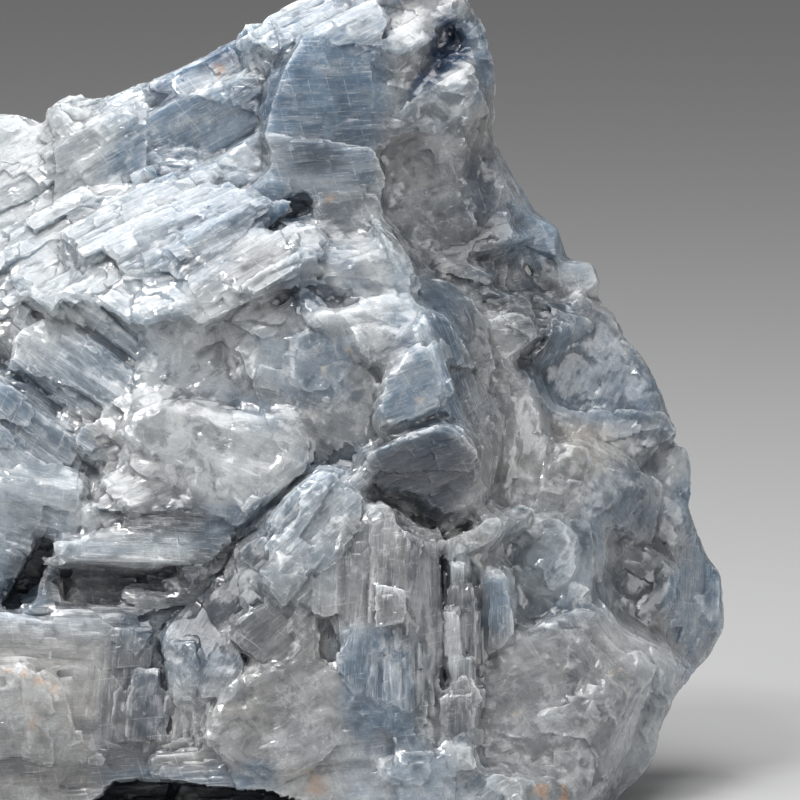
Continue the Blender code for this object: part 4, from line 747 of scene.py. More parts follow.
# Faces and bands of the show face that differ in tone: the tone, its strength, how far its border fades, and
# the outline as (x, u). Later ones lie over earlier ones. Some are painted shade in clefts, pits and
# shadowed places, and some are painted highlights on lit ledges and glossy ridges, as marked.
TONE_PATCHES = [
    ("ice", 0.8, 4.0, [(-40, 86), (-16, 88), (2, 78), (-2, 66), (-14, 56), (-40, 58)]),
    ("milk", 0.5, 3.0, [(-40, 84), (-24, 85), (-20, 76), (-30, 72), (-40, 70)]),
    ("milk", 0.3, 2.0, [(-36, 73), (-20, 75), (0, 77), (-3, 70), (-12, 64), (-20, 58), (-36, 60)]),
    ("steel", 0.3, 3.0, [(-14, 76), (1, 77), (-1, 66), (-10, 60), (-16, 62)]),
    ("milk", 0.6, 1.5, [(-27, 81), (-22, 84), (-19, 80), (-22, 77)]),
    ("steel", 0.4, 1.5, [(-33, 66), (-28, 68), (-27, 63), (-33, 60)]),
    ("steel", 0.35, 1.2, [(-19, 62), (-14, 66), (-11, 64), (-17, 59)]),
    ("steel", 0.9, 0.8, [(-16.5, 82), (-7.5, 85), (-1.5, 86.5), (-1.3, 80), (-8, 76), (-14, 72.8),
                         (-20.8, 75)]),
    ("deep", 0.75, 0.7, [(-15, 85.8), (-12, 87), (-10.5, 84.2), (-14.8, 82.8)]),
    ("steel", 0.9, 0.8, [(-13, 84), (-4, 88), (-4, 91), (-12, 88)]),
    ("deep", 0.45, 0.8, [(-9, 87), (-4, 89), (-3, 91.5), (-8, 90)]),
    ("ice", 0.8, 0.6, [(-10.5, 84.5), (-8.5, 86.5), (-4, 88), (-4, 86.2), (-8, 84.3)]),
    ("ice", 0.4, 1.5, [(-3, 86), (-3, 92), (8, 97), (13, 96), (12.5, 91), (4, 91)]),
    ("steel", 0.45, 1.5, [(2, 94), (8, 97), (13, 96), (12.5, 91), (5, 91.5)]),
    ("steel", 0.55, 1.0, [(-2, 90), (2, 93.5), (5, 94), (2, 90.5)]),
    ("steel", 1.0, 1.0, [(3.5, 90.8), (12.5, 89.8), (14, 78), (-1, 79.7), (0, 86)]),
    ("slate", 0.35, 2.5, [(6, 84), (13, 84), (13, 79), (6, 79)]),
    ("deep", 0.5, 1.0, [(-1.6, 88), (1.5, 90), (1, 84), (-0.8, 80.6), (-1.6, 82)]),
    ("deep", 0.6, 0.6, [(-1.3, 83.4), (0.9, 83.2), (0.9, 81.2), (-1, 81.3)]),
    ("steel", 0.7, 0.8, [(-1, 79.5), (12, 78), (12.5, 73.2), (4.5, 74.3), (2, 76)]),
    ("slate", 0.6, 0.8, [(2.7, 78.4), (8, 78.2), (8, 75.2), (3, 75.4)]),
    ("milk", 0.4, 0.8, [(6.3, 92.2), (12, 95.5), (13.8, 94), (12.5, 90.5)]),
    ("steel", 0.7, 0.5, [(12.4, 90.2), (13.4, 94.5), (15, 96.5), (16, 96), (14, 93.5), (13.2, 90)]),
    ("steel", 0.6, 1.5, [(0, 74), (14, 73), (13, 67), (4, 68)]),
    ("grey", 0.6, 1.5, [(3, 72), (13, 72), (12, 62), (3, 66)]),
    # Painted shade: this slate band and the next steel band darken a lath that lies in shadow.
    ("slate", 0.7, 0.8, [(-12, 63.5), (-3, 71.5), (0.5, 71.5), (0, 70), (-9.5, 61.5)]),
    ("steel", 0.6, 1.2, [(-13, 66), (-5, 74), (1, 74.5), (1, 71), (-4, 71), (-11.5, 64.5)]),
    # Painted shade darkening the pit.
    ("deep", 0.8, 0.7, [(-2, 68.5), (0, 71), (3.8, 72), (3.5, 69.5), (0, 67.8)]),
    # Painted shade darkening the lath field round the shadowed lath.
    ("steel", 0.4, 2.0, [(-9, 72), (3, 74), (5, 60), (-8, 59)]),
    ("milk", 0.6, 0.7, [(-10, 60.5), (-2, 67.5), (4.3, 68.4), (4.5, 66.5), (-7.5, 57.5)]),
    ("slate", 0.5, 1.5, [(-13, 59), (-7, 57), (-4, 59), (-5, 54), (-12, 55)]),
    ("ice", 0.7, 2.0, [(-30, 60), (-14, 57), (-10, 50), (-18, 46), (-30, 50)]),
    ("milk", 0.5, 1.5, [(-36, 60), (-20, 59), (-20, 55), (-28, 50), (-36, 54)]),
    ("steel", 0.35, 1.0, [(-30, 50), (-22, 57), (-15, 55), (-15.5, 50), (-20, 46.5)]),
    ("deep", 0.35, 0.8, [(-21, 55), (-16, 54), (-18, 51.5)]),
    ("steel", 0.55, 1.0, [(-40, 58), (-30, 51), (-20, 42), (-22, 38), (-40, 42)]),
    ("deep", 0.4, 0.8, [(-34, 53), (-30, 50.5), (-26, 46), (-24, 47.5), (-29, 52)]),
    ("milk", 0.45, 2.0, [(-18, 48), (-12, 57), (-4, 56), (-3, 48), (-8, 46)]),
    ("slate", 0.5, 0.9, [(-8, 52), (-5.5, 55), (-4.3, 48)]),
    ("milk", 0.95, 1.6, [(-19, 46), (-15, 49), (-6, 46.5), (4, 44), (3, 37), (-5, 35), (-12, 36),
                         (-18, 41)]),
    ("grey", 0.75, 2.0, [(-4, 66), (3, 67), (12, 64), (14, 56), (18, 48), (12, 42), (4, 42), (-3, 50)]),
    ("milk", 0.7, 1.5, [(-9, 60), (-3, 61), (3, 59), (2, 53), (-2, 49), (-6, 49), (-10, 53)]),
    ("steel", 0.5, 1.2, [(-2, 56), (4, 57), (9, 55), (10, 48), (2, 47)]),
    ("slate", 0.7, 1.0, [(0.5, 61.5), (4, 62.5), (8, 61), (9, 59), (5, 58), (1, 58.5)]),
    ("steel", 0.5, 1.5, [(1, 67), (9, 66), (12, 61), (10, 57), (2, 58)]),
    ("milk", 0.6, 0.7, [(4.5, 58), (8, 59), (12.5, 59), (12, 57), (5, 56.3)]),
    ("milk", 0.6, 0.6, [(2.5, 64), (8, 63.5), (9.5, 61.5), (5.5, 62.3)]),
    ("milk", 0.5, 0.7, [(9, 66.5), (12.5, 66), (15, 60), (13.5, 58), (11.5, 62)]),
    ("ice", 0.5, 1.5, [(-3, 56), (2, 55), (3, 49), (-3, 50)]),
    ("steel", 0.75, 0.8, [(12, 46), (14, 50.7), (18, 51.5), (19.7, 48), (16, 45.5)]),
    ("ice", 0.7, 1.0, [(12, 66), (14, 66), (18, 60), (20, 54), (19.6, 48), (18, 51), (16, 57)]),
    # Partly the long wall's own dark blue-grey, partly painted shade, as the wall lies in shadow.
    ("slate", 0.75, 1.0, [(13, 69), (16, 68.5), (21, 60), (25, 52), (26.5, 42), (24.5, 40), (21.5, 50),
                          (19, 58)]),
    ("steel", 0.6, 1.0, [(20, 58), (23, 56), (26, 46), (23, 48)]),
    ("slate", 0.9, 0.8, [(12, 42.5), (20, 45), (24, 42.5), (24.8, 38.5), (22, 34), (19.5, 33), (16, 36),
                         (12, 38)]),
    ("deep", 0.25, 1.0, [(13, 41), (20, 43.5), (23.5, 41), (20, 39.5)]),
    ("grey", 0.7, 1.0, [(15, 34.5), (20.5, 31), (24, 33), (24, 30), (20, 29), (14, 32)]),
    ("ice", 0.6, 1.5, [(-2, 30), (2, 38.5), (8, 40), (12, 36), (13, 30), (8, 26), (1, 27)]),
    ("milk", 0.3, 1.5, [(1, 33), (5, 37.5), (9, 36), (7, 30), (3, 28)]),
    ("grey", 0.8, 2.0, [(-15, 24), (-5, 32), (0, 30), (8, 25), (8, 12), (-3, 14), (-12, 20)]),
    # Painted shade in the zigzag crevice.
    ("slate", 0.5, 1.0, [(-16, 21), (-9, 24), (-6, 27.5), (-3, 32), (-1, 31), (-4, 25), (-8, 21)]),
    ("ice", 0.5, 1.5, [(-4, 28), (8, 30), (12, 26), (4, 23), (-4, 24)]),
    ("grey", 0.8, 1.0, [(8, 34), (16, 33), (16, 14), (7, 14)]),
    ("steel", 0.8, 1.0, [(7.5, 21), (16, 21), (17, 8), (8, 8)]),
    ("milk", 0.3, 0.8, [(10, 33.5), (12, 33.5), (11.5, 20), (9.5, 20)]),
    ("slate", 0.25, 3.0, [(-9, 36), (3, 36), (14, 32), (14, 24), (-9, 24)]),
    ("slate", 0.7, 0.8, [(16, 33), (19.5, 30), (20.2, 14), (16.5, 8)]),
    # Painted shade along the cleft at the edge of the step column.
    ("slate", 0.8, 0.6, [(19.6, 30), (20.5, 30), (20.6, 15), (19.6, 15)]),
    ("ice", 0.7, 0.8, [(20.5, 30.5), (24.5, 30), (24, 27), (21, 27)]),
    ("slate", 0.6, 0.8, [(20.5, 27.5), (25, 27.5), (25, 16), (20.5, 16)]),
    ("milk", 0.8, 0.5, [(20.2, 22.8), (22.5, 22.8), (22.6, 16), (20.3, 16)]),
    ("steel", 0.8, 0.7, [(25, 27.3), (28.2, 27), (28.2, 20), (25, 20)]),
    ("ice", 0.8, 2.5, [(26, 36), (38, 37), (41, 29), (38, 24), (28, 24)]),
    ("slate", 0.4, 0.8, [(20.5, 15), (24.5, 15), (24.5, 8), (20.5, 8)]),
    ("milk", 0.75, 0.6, [(20.2, 7.4), (24.2, 7.4), (24.2, 4), (20.2, 4)]),
    ("grey", 0.85, 2.5, [(24, 20), (40, 22), (50, 16), (44, 2), (36, -1), (24, 0)]),
    # Painted highlight: the lit top of a thin step.
    ("milk", 0.65, 0.8, [(27, 19), (31, 21.3), (34, 22), (33.5, 20.6), (28.5, 18)]),
    ("milk", 0.75, 1.0, [(38, 23), (42, 21.8), (48.5, 16.5), (48.8, 14), (46, 14.6), (40.5, 18.6)]),
    ("ice", 0.6, 1.5, [(44, 16), (48.5, 15.5), (47, 10), (44, 4), (41, 4)]),
    ("steel", 0.9, 1.0, [(47.5, 12), (49.5, 17), (46.5, 24), (49, 29), (53.5, 27), (56, 21)]),
    ("deep", 0.3, 1.0, [(48, 13), (50, 17), (54, 20.5), (53, 16)]),
    ("ice", 0.5, 0.6, [(50, 21.5), (52, 23.6), (54.6, 21.4), (54.4, 20.6), (51.5, 21.6)]),
    ("slate", 0.5, 1.2, [(40.5, 34.5), (47.5, 34), (47.5, 29), (41, 29.5)]),
    ("slate", 0.55, 1.5, [(39, 28), (46.5, 29), (48, 23), (42, 21.5)]),
    ("grey", 0.7, 3.0, [(24, 33), (36, 32), (42, 40), (34, 48), (25, 46)]),
    ("steel", 0.5, 2.5, [(36, 30), (50, 34), (49, 44), (40, 42)]),
    ("sand", 0.45, 2.0, [(33, 46), (38, 48), (44, 46.5), (43, 41), (36, 39.5)]),
    ("slate", 0.6, 1.2, [(42.5, 41), (44, 43.5), (50, 43), (50, 40), (46, 38.5), (43, 38)]),
    # Painted highlight on the knob at the right edge.
    ("milk", 0.85, 0.8, [(46, 41.5), (50, 41.5), (49.5, 38.5), (46.5, 39)]),
    ("milk", 0.6, 1.0, [(45, 38.3), (48.5, 38.3), (48, 35.5), (45.5, 35.5)]),
    ("slate", 0.4, 1.5, [(41, 41), (45, 42), (45, 36), (42, 36)]),
    ("milk", 0.5, 1.0, [(27.5, 49), (29, 51.5), (33, 45), (32, 41.5), (29.5, 43)]),
    ("grey", 0.8, 2.0, [(22, 60), (34, 60), (33, 50), (24, 48)]),
    ("milk", 0.3, 1.5, [(23, 56), (32, 58), (32, 53.5), (25, 52)]),
    ("slate", 0.45, 2.0, [(24, 62), (34, 64), (38, 58), (33, 50), (29, 50), (30, 56)]),
    ("steel", 0.75, 1.5, [(34, 59), (40, 57), (47, 50), (45, 43), (33, 46), (31, 50)]),
    ("slate", 0.4, 2.0, [(37, 60), (41, 58), (46, 51), (44, 50), (38, 53)]),
    ("slate", 0.4, 3.0, [(27, 60), (38, 60), (40, 50), (28, 49)]),
    # Painted shade in the crevice.
    ("slate", 0.85, 0.7, [(36, 61.5), (33.3, 54), (29.8, 50.6), (29, 51.6), (32, 55), (34.6, 62)]),
    ("slate", 0.8, 1.2, [(25, 65.5), (33.5, 65.5), (33.5, 60), (28, 58.5), (24, 61)]),
    # Painted highlights on the small bumps in the dark recess.
    ("milk", 0.5, 0.6, [(27, 64), (30, 64.5), (29.5, 62), (27, 61.5)]),
    ("steel", 0.85, 1.0, [(27.5, 72), (34.5, 69), (35, 64), (28, 65)]),
    ("ice", 0.6, 0.8, [(34, 65), (39, 63.5), (38.5, 60.5), (34, 62)]),
    ("grey", 0.75, 2.0, [(13, 80), (26, 80), (28, 68), (20, 62), (13, 68)]),
    # Painted shade over the shadowed saddle.
    ("slate", 0.5, 2.0, [(14, 72), (20, 74), (27, 70), (26, 63), (19, 61), (14, 66)]),
    ("slate", 0.5, 2.0, [(17, 78), (26, 79), (27.5, 71), (24, 69), (20, 73)]),
    ("deep", 0.3, 2.0, [(22, 77), (26.5, 77), (28.5, 69), (25, 68)]),
    ("milk", 0.35, 1.5, [(14, 75), (22, 74.5), (22, 71), (14, 71.5)]),
    ("grey", 0.6, 1.5, [(13, 90), (22, 84), (25.5, 84), (25.5, 78), (13, 79)]),
    ("ice", 0.6, 1.2, [(14.5, 84.5), (22, 85.5), (24, 82), (21, 79.5), (15, 80.5)]),
    # Partly milky crystal, partly a painted highlight on the lit face of the glossy ridge.
    ("milk", 0.55, 0.9, [(13, 89.8), (15, 95), (21, 96), (20.5, 94), (17, 90.5)]),
    ("deep", 0.95, 0.9, [(15.4, 83.5), (18.1, 88.6), (19.9, 94), (22, 93.2), (25.2, 91), (25.9, 87.6),
                         (23.5, 87.8), (19.9, 86.2), (16.9, 83.2)]),
    # Painted highlight along the second glossy ridge.
    ("milk", 0.7, 0.5, [(15.7, 82.6), (19.9, 86.0), (23.5, 88.3), (24.1, 86.8), (19.9, 84.4), (16.6, 82.3)]),
    ("steel", 0.8, 0.8, [(21, 95), (26, 92), (26.5, 86), (24.5, 82), (24, 88)]),
    ("sand", 0.65, 2.5, [(-40, 22), (-22, 21), (-12, 17), (-12, 5), (-22, 1), (-40, 0)]),
    ("grey", 0.55, 2.5, [(-40, 8), (-24, 9), (-13, 8), (-12, 1), (-40, 0)]),
    # Painted highlight along the lit top ledge of the shelf.
    ("milk", 0.55, 1.0, [(-34, 22.5), (-18, 22.5), (-17, 20), (-34, 19.5)]),
    # Painted shade in the dark slit.
    ("slate", 0.95, 0.8, [(-33.5, 23.5), (-30, 30.5), (-27, 31), (-28, 27), (-29.5, 23.5)]),
    ("grey", 0.8, 1.0, [(-27.5, 29.5), (-12, 28.5), (-11, 22.5), (-27, 22.5)]),
    # Painted shade in the cleft.
    ("slate", 0.75, 0.7, [(-27, 28.4), (-12, 27.4), (-12, 26), (-27, 27)]),
    ("slate", 0.6, 1.0, [(-16, 27), (-8, 29), (-7, 24), (-15, 23.5)]),
    ("ice", 0.8, 1.5, [(-40, 42), (-22, 40), (-21, 32), (-27, 30), (-40, 31)]),
    ("slate", 0.65, 1.0, [(-21, 36), (-10, 37), (-7, 33), (-12, 30.5), (-21, 31.5)]),
    ("ice", 0.7, 1.0, [(-26, 32), (-10, 31.8), (-9, 29.5), (-26, 29)]),
    ("milk", 0.85, 0.5, [(-20, 38.5), (-17, 38.8), (-14, 36), (-17, 35.2)]),
    ("milk", 0.8, 0.5, [(-24, 34.7), (-18.5, 33.4), (-19, 32.2), (-23.5, 33)]),
    ("ice", 0.8, 0.6, [(-12.8, 21.5), (-9.3, 20.5), (-9.3, 12), (-12.3, 13.5)]),
    ("slate", 0.7, 0.7, [(-12.6, 23), (-8, 22.8), (-3.5, 17), (-8, 18)]),
    ("steel", 0.6, 0.8, [(-9, 19), (-3.5, 18), (-3.5, 12), (-9, 12)]),
    ("deep", 0.6, 0.8, [(-16.2, 16.5), (-12.5, 15.5), (-12, 8.5), (-16, 8)]),
    ("sand", 0.35, 2.0, [(-12, 14), (-2, 17), (2, 6), (-6, 2), (-12, 4)]),
    ("slate", 0.6, 1.5, [(-19, 24), (-11, 26), (-8, 20), (-13, 14), (-14, 3), (-21, 3), (-20, 14)]),
    ("slate", 0.4, 2.0, [(-11, 24), (-2, 26), (0, 16), (-8, 14)]),
    ("slate", 0.3, 3.0, [(-34, 12), (-20, 10), (-8, 10), (-8, 1), (-34, 1)]),
    ("grey", 0.7, 2.0, [(-2, 16), (8, 15), (10, 6), (2, 3), (-3, 8)]),
    ("sand", 0.5, 1.5, [(1, 6), (8, 5), (9, 0), (1, 0)]),
    ("steel", 0.6, 1.5, [(-20, 4.5), (0, 4.5), (1, 1), (-20, 1)]),
    ("ice", 0.6, 1.5, [(9, 6), (20, 5), (26, 3), (26, -1), (9, -1)]),
    ("slate", 0.6, 0.8, [(13, 9), (15, 8.5), (14.5, 4), (13, 4.5)]),
]

# Small flecks: the tone, its strength, (x, u) and the radius. The milk flecks at (16.9, 88.6), (21.9, 82.5)
# and (19.9, 83.0) are painted highlights.
TONE_FLECKS = [
    ("rust", 0.9, (-6.7, 87.0), 0.4), ("rust", 0.7, (-12.5, 68.4), 0.25), ("rust", 0.8, (7.0, 71.8), 0.3),
    ("sand", 0.9, (17.5, 48.0), 0.6), ("sand", 0.9, (5.0, 46.0), 0.5), ("sand", 0.8, (9.0, 53.7), 0.5),
    ("sand", 0.9, (6.5, 51.6), 0.4), ("rust", 0.7, (32.0, 1.5), 1.1), ("rust", 0.7, (34.5, 1.0), 0.8),
    # Painted highlights: the milk flecks at (16.9, 88.6), (21.9, 82.5) and (19.9, 83.0) are glints on the
    # glossy ridges of the peak.
    ("rust", 0.35, (5.5, 3.0), 1.6), ("milk", 0.9, (16.9, 88.6), 0.7), ("milk", 0.9, (21.9, 82.5), 0.8),
    ("milk", 0.9, (19.9, 83.0), 0.5), ("milk", 0.8, (37.5, 40.7), 0.7), ("sand", 0.9, (40.0, 15.5), 0.4),
    ("sand", 0.9, (41.5, 15.7), 0.4), ("sand", 0.8, (29.0, 10.7), 0.5), ("sand", 0.8, (27.0, 9.3), 0.4),
    ("sand", 0.8, (34.7, 16.3), 0.4), ("milk", 0.9, (-15.4, 74.3), 1.3), ("milk", 0.7, (25.5, 14.5), 1.0),
    ("milk", 0.7, (28.0, 16.8), 1.2), ("rust", 0.55, (-31.0, 15.9), 0.7), ("rust", 0.6, (-29.0, 15.5), 0.6),
    ("rust", 0.6, (-27.0, 14.6), 0.7), ("rust", 0.45, (-25.6, 13.6), 0.6), ("rust", 0.3, (-28.0, 10.0), 0.8),
]

# How deep behind the nearest part of the show face its tones reach before the plain body takes over.
TONE_DEPTH = (12.0, 24.0)

# How far the hollow under the foot is darkened, as painted shade, and the depth (face y) over which that
# ends.
FOOT_SHADE = 0.95
FOOT_SHADE_DEPTH = (8.0, 16.0)


def inside_share(places, outline, blur):
    """0 for the places outside an outline and 1 for those inside, with a border that fades over the blur."""
    distance = distance_to_path(places, outline + outline[:1])
    inside = np.zeros(len(places), dtype=bool)
    corners = np.array(outline, dtype=float)
    for start, end in zip(corners, np.roll(corners, -1, axis=0)):
        rise = (end[1] - start[1]) or 1.0
        spans = (start[1] > places[:, 1]) != (end[1] > places[:, 1])
        level = np.where(spans, (places[:, 1] - start[1]) / rise, 0.0)
        inside ^= spans & (places[:, 0] < start[0] + level * (end[0] - start[0]))
    return fade(np.where(inside, distance, -distance), -blur, blur)


def laid_over(colour, tone, share):
    """The colours with this share of a tone laid over each."""
    return colour + share[:, None] * (np.array(TONES[tone]) - colour)


def body_tones_and_painted_light(face_points):
    """The body colour at each point: cloudy, with the patches and flecks of the show face over it, some of
    them painted shade or painted highlights, and with painted shade in the hollow under the foot.
    """
    wide = noise(face_points, 14.0, 141) + 0.5 * noise(face_points, 6.0, 142)
    colour = np.tile(TONES["grey"], (len(face_points), 1))
    colour = laid_over(colour, "steel", fade(noise(face_points, 18.0, 143), -0.3, 0.4))
    colour = laid_over(colour, "slate", 0.6 * fade(-wide, 0.2, 1.0))
    colour = laid_over(colour, "ice", fade(wide, 0.0, 0.9))
    front = 1.0 - fade(face_points[:, 1], *TONE_DEPTH)
    ragged, fine, grit = (np.stack([noise(face_points, size, seed) for seed in (first, first + 1)], axis=-1)
                          for size, first in ((2.2, 151), (0.9, 153), (0.5, 155)))
    places = face_points[:, [0, 2]]
    for tone, strength, blur, outline in TONE_PATCHES:
        share = inside_share(places + ragged * (0.25 + 0.5 * blur) + 0.3 * fine, outline, blur)
        colour = laid_over(colour, tone, strength * share * front)
    for tone, strength, middle, radius in TONE_FLECKS:
        distance = np.linalg.norm(places + 0.5 * radius * (ragged + grit) - middle, axis=1)
        colour = laid_over(colour, tone, strength * front * (1.0 - fade(distance, 0.7 * radius, radius)))
    # Painted shade: the hollow under the foot is darkened.
    shade = under_foot(face_points) * (1.0 - fade(face_points[:, 1], *FOOT_SHADE_DEPTH))
    return colour * (1.0 - FOOT_SHADE * shade)[:, None]


def store(mesh, name, values):
    attribute = mesh.attributes.new(name, "FLOAT", "POINT")
    attribute.data.foreach_set("value", values.astype(np.float32))


def store_vector(mesh, name, values):
    attribute = mesh.attributes.new(name, "FLOAT_VECTOR", "POINT")
    attribute.data.foreach_set("vector", values.astype(np.float32).ravel())


# How many rounds of smoothing show the sharp edges and then the hollows, and the heights that count as full.
EDGE_ROUNDS, EDGE_HEIGHT = 4, 0.08
HOLLOW_ROUNDS, HOLLOW_HEIGHT = 26, 0.35


def note_edges_and_hollows(mesh, grains):
    """Attributes of the full mesh that the material reads: its sharp edges, its hollows, which the material
    darkens as painted shade, and its hardness.
    """
    count = len(mesh.vertices)
    points = vertex_points(mesh)
    pairs = edge_pairs(mesh)
    normals = vertex_normals(mesh)
    relaxed = points.copy()
    for name, rounds, full in (("edge", EDGE_ROUNDS, EDGE_HEIGHT), ("ridge", HOLLOW_ROUNDS, HOLLOW_HEIGHT)):
        for _ in range(rounds):
            relaxed += 0.6 * (neighbour_mean(relaxed, pairs, count) - relaxed)
        store(mesh, name, np.clip(((points - relaxed) * normals).sum(axis=1) / full, -1, 1))
    hard = 1.0 - grains["soft"][nearest_grain(points, grains)][:, None]
    for _ in range(12):
        hard = neighbour_mean(hard, pairs, count)
    store(mesh, "hard", hard[:, 0])


def paint(mesh, grains):
    """Attributes of the thinned mesh that the material reads: the body colour with its painted shade and
    painted highlights, the tone of each cleavage rhomb and the places along the crystals' edges."""
    points = vertex_points(mesh)
    store_vector(mesh, "body", body_tones_and_painted_light(to_face(points)))
    grain = nearest_grain(points, grains)
    for name, (scale, _, _, seed) in zip(("large_tone", "small_tone"), RHOMBS):
        store(mesh, name, hashed(cleavage_cells(points, grain, grains, scale, seed), seed + 9))
    store_vector(mesh, "lattice", lattice_places(points, grain, grains))


# The material

class Nodes:
    """Small helpers that add shader nodes to one material."""

    def __init__(self, material):
        material.use_nodes = True
        self.tree = material.node_tree
        self.shader = self.tree.nodes["Principled BSDF"]

    def add(self, kind, **values):
        node = self.tree.nodes.new(kind)
        for key, value in values.items():
            setattr(node, key, value)
        return node

    def feed(self, socket, value):
        if hasattr(value, "is_output"):
            self.tree.links.new(value, socket)
        else:
            socket.default_value = value

    def feed_all(self, node, **values):
        for name, value in values.items():
            self.feed(node.inputs[name.replace("_", " ")], value)

    def attribute(self, name, output="Fac"):
        return self.add("ShaderNodeAttribute", attribute_name=name).outputs[output]

    def math(self, operation, a, b, clamp=False):
        node = self.add("ShaderNodeMath", operation=operation, use_clamp=clamp)
        self.feed(node.inputs[0], a)
        self.feed(node.inputs[1], b)
        return node.outputs[0]

    def product(self, a, b, clamp=False):
        return self.math("MULTIPLY", a, b, clamp)

    def total(self, first, *others):
        for other in others:
            first = self.math("ADD", first, other)
        return first

    def vector_math(self, operation, a, b, output=0):
        node = self.add("ShaderNodeVectorMath", operation=operation)
        self.feed(node.inputs[0], a)
        self.feed(node.inputs[1], b)
        return node.outputs[output]

    def ramp(self, value, low, high, out_low=0.0, out_high=1.0):
        node = self.add("ShaderNodeMapRange", interpolation_type="SMOOTHSTEP")
        self.feed_all(node, Value=value, From_Min=low, From_Max=high, To_Min=out_low, To_Max=out_high)
        return node.outputs[0]

    def mix(self, factor, a, b):
        node = self.add("ShaderNodeMix", data_type="RGBA")
        self.feed(node.inputs[0], factor)
        for socket, colour in ((node.inputs[6], a), (node.inputs[7], b)):
            self.feed(socket, colour if hasattr(colour, "is_output") else (*colour, 1.0))
        return node.outputs[2]

    def noise(self, vector, scale, detail, roughness, distortion=0.0):
        node = self.add("ShaderNodeTexNoise")
        self.feed_all(node, Vector=vector, Scale=scale, Detail=detail, Roughness=roughness,
                      Distortion=distortion)
        return node.outputs["Fac"]

    def scaled(self, vector, scale):
        node = self.add("ShaderNodeMapping")
        self.feed_all(node, Vector=vector, Scale=scale)
        return node.outputs["Vector"]

    def cleavage_lines(self, lattice, spacings, width):
        """Thin straight lines across the faces, along the cleavage edges."""
        parts = self.add("ShaderNodeSeparateXYZ")
        self.feed(parts.inputs[0], lattice)
        lines = []
        for part, spacing in zip(parts.outputs, spacings):
            cells = self.add("ShaderNodeTexVoronoi", voronoi_dimensions="1D", feature="DISTANCE_TO_EDGE")
            self.feed_all(cells, W=part, Scale=spacing)
            lines.append(self.ramp(cells.outputs["Distance"], 0.0, width, 1.0, 0.0))
        return self.math("MAXIMUM", self.math("MAXIMUM", lines[0], lines[1]), lines[2])

    def facets(self, vector, scale):
        """Heights of small flat faces that lean at random, each in a cell of its own."""
        placed = self.scaled(vector, scale)
        cells = self.add("ShaderNodeTexVoronoi", feature="F1", distance="CHEBYCHEV")
        self.feed_all(cells, Vector=placed, Scale=1.0)
        inner = self.vector_math("SUBTRACT", placed, cells.outputs["Position"])
        lean = self.vector_math("SUBTRACT", cells.outputs["Color"], (0.5, 0.5, 0.5))
        return self.vector_math("DOT_PRODUCT", inner, lean, "Value")


MILK = TONES["milk"]
SLATE = TONES["slate"]
FROST = (0.60, 0.62, 0.63)

# The shares by which the tones of the large rhombs, the small rhombs and the streaks differ.
LARGE_TONE_SHARE = 0.42
SMALL_TONE_SHARE = 0.35
PALE_STREAK_SHARE = 0.55
DARK_STREAK_SHARE = 0.50

# How much whiter the fine streaks, the cleavage lines and the worn edges are, and how far the hollows are
# darkened as painted shade.
FINE_STREAK_WHITE = 0.42
LINE_WHITE = 0.40
EDGE_WHITE = 0.35
HOLLOW_PAINTED_SHADE = 0.6

# How far light wanders under the surface, in metres.
LIGHT_REACH = 0.005


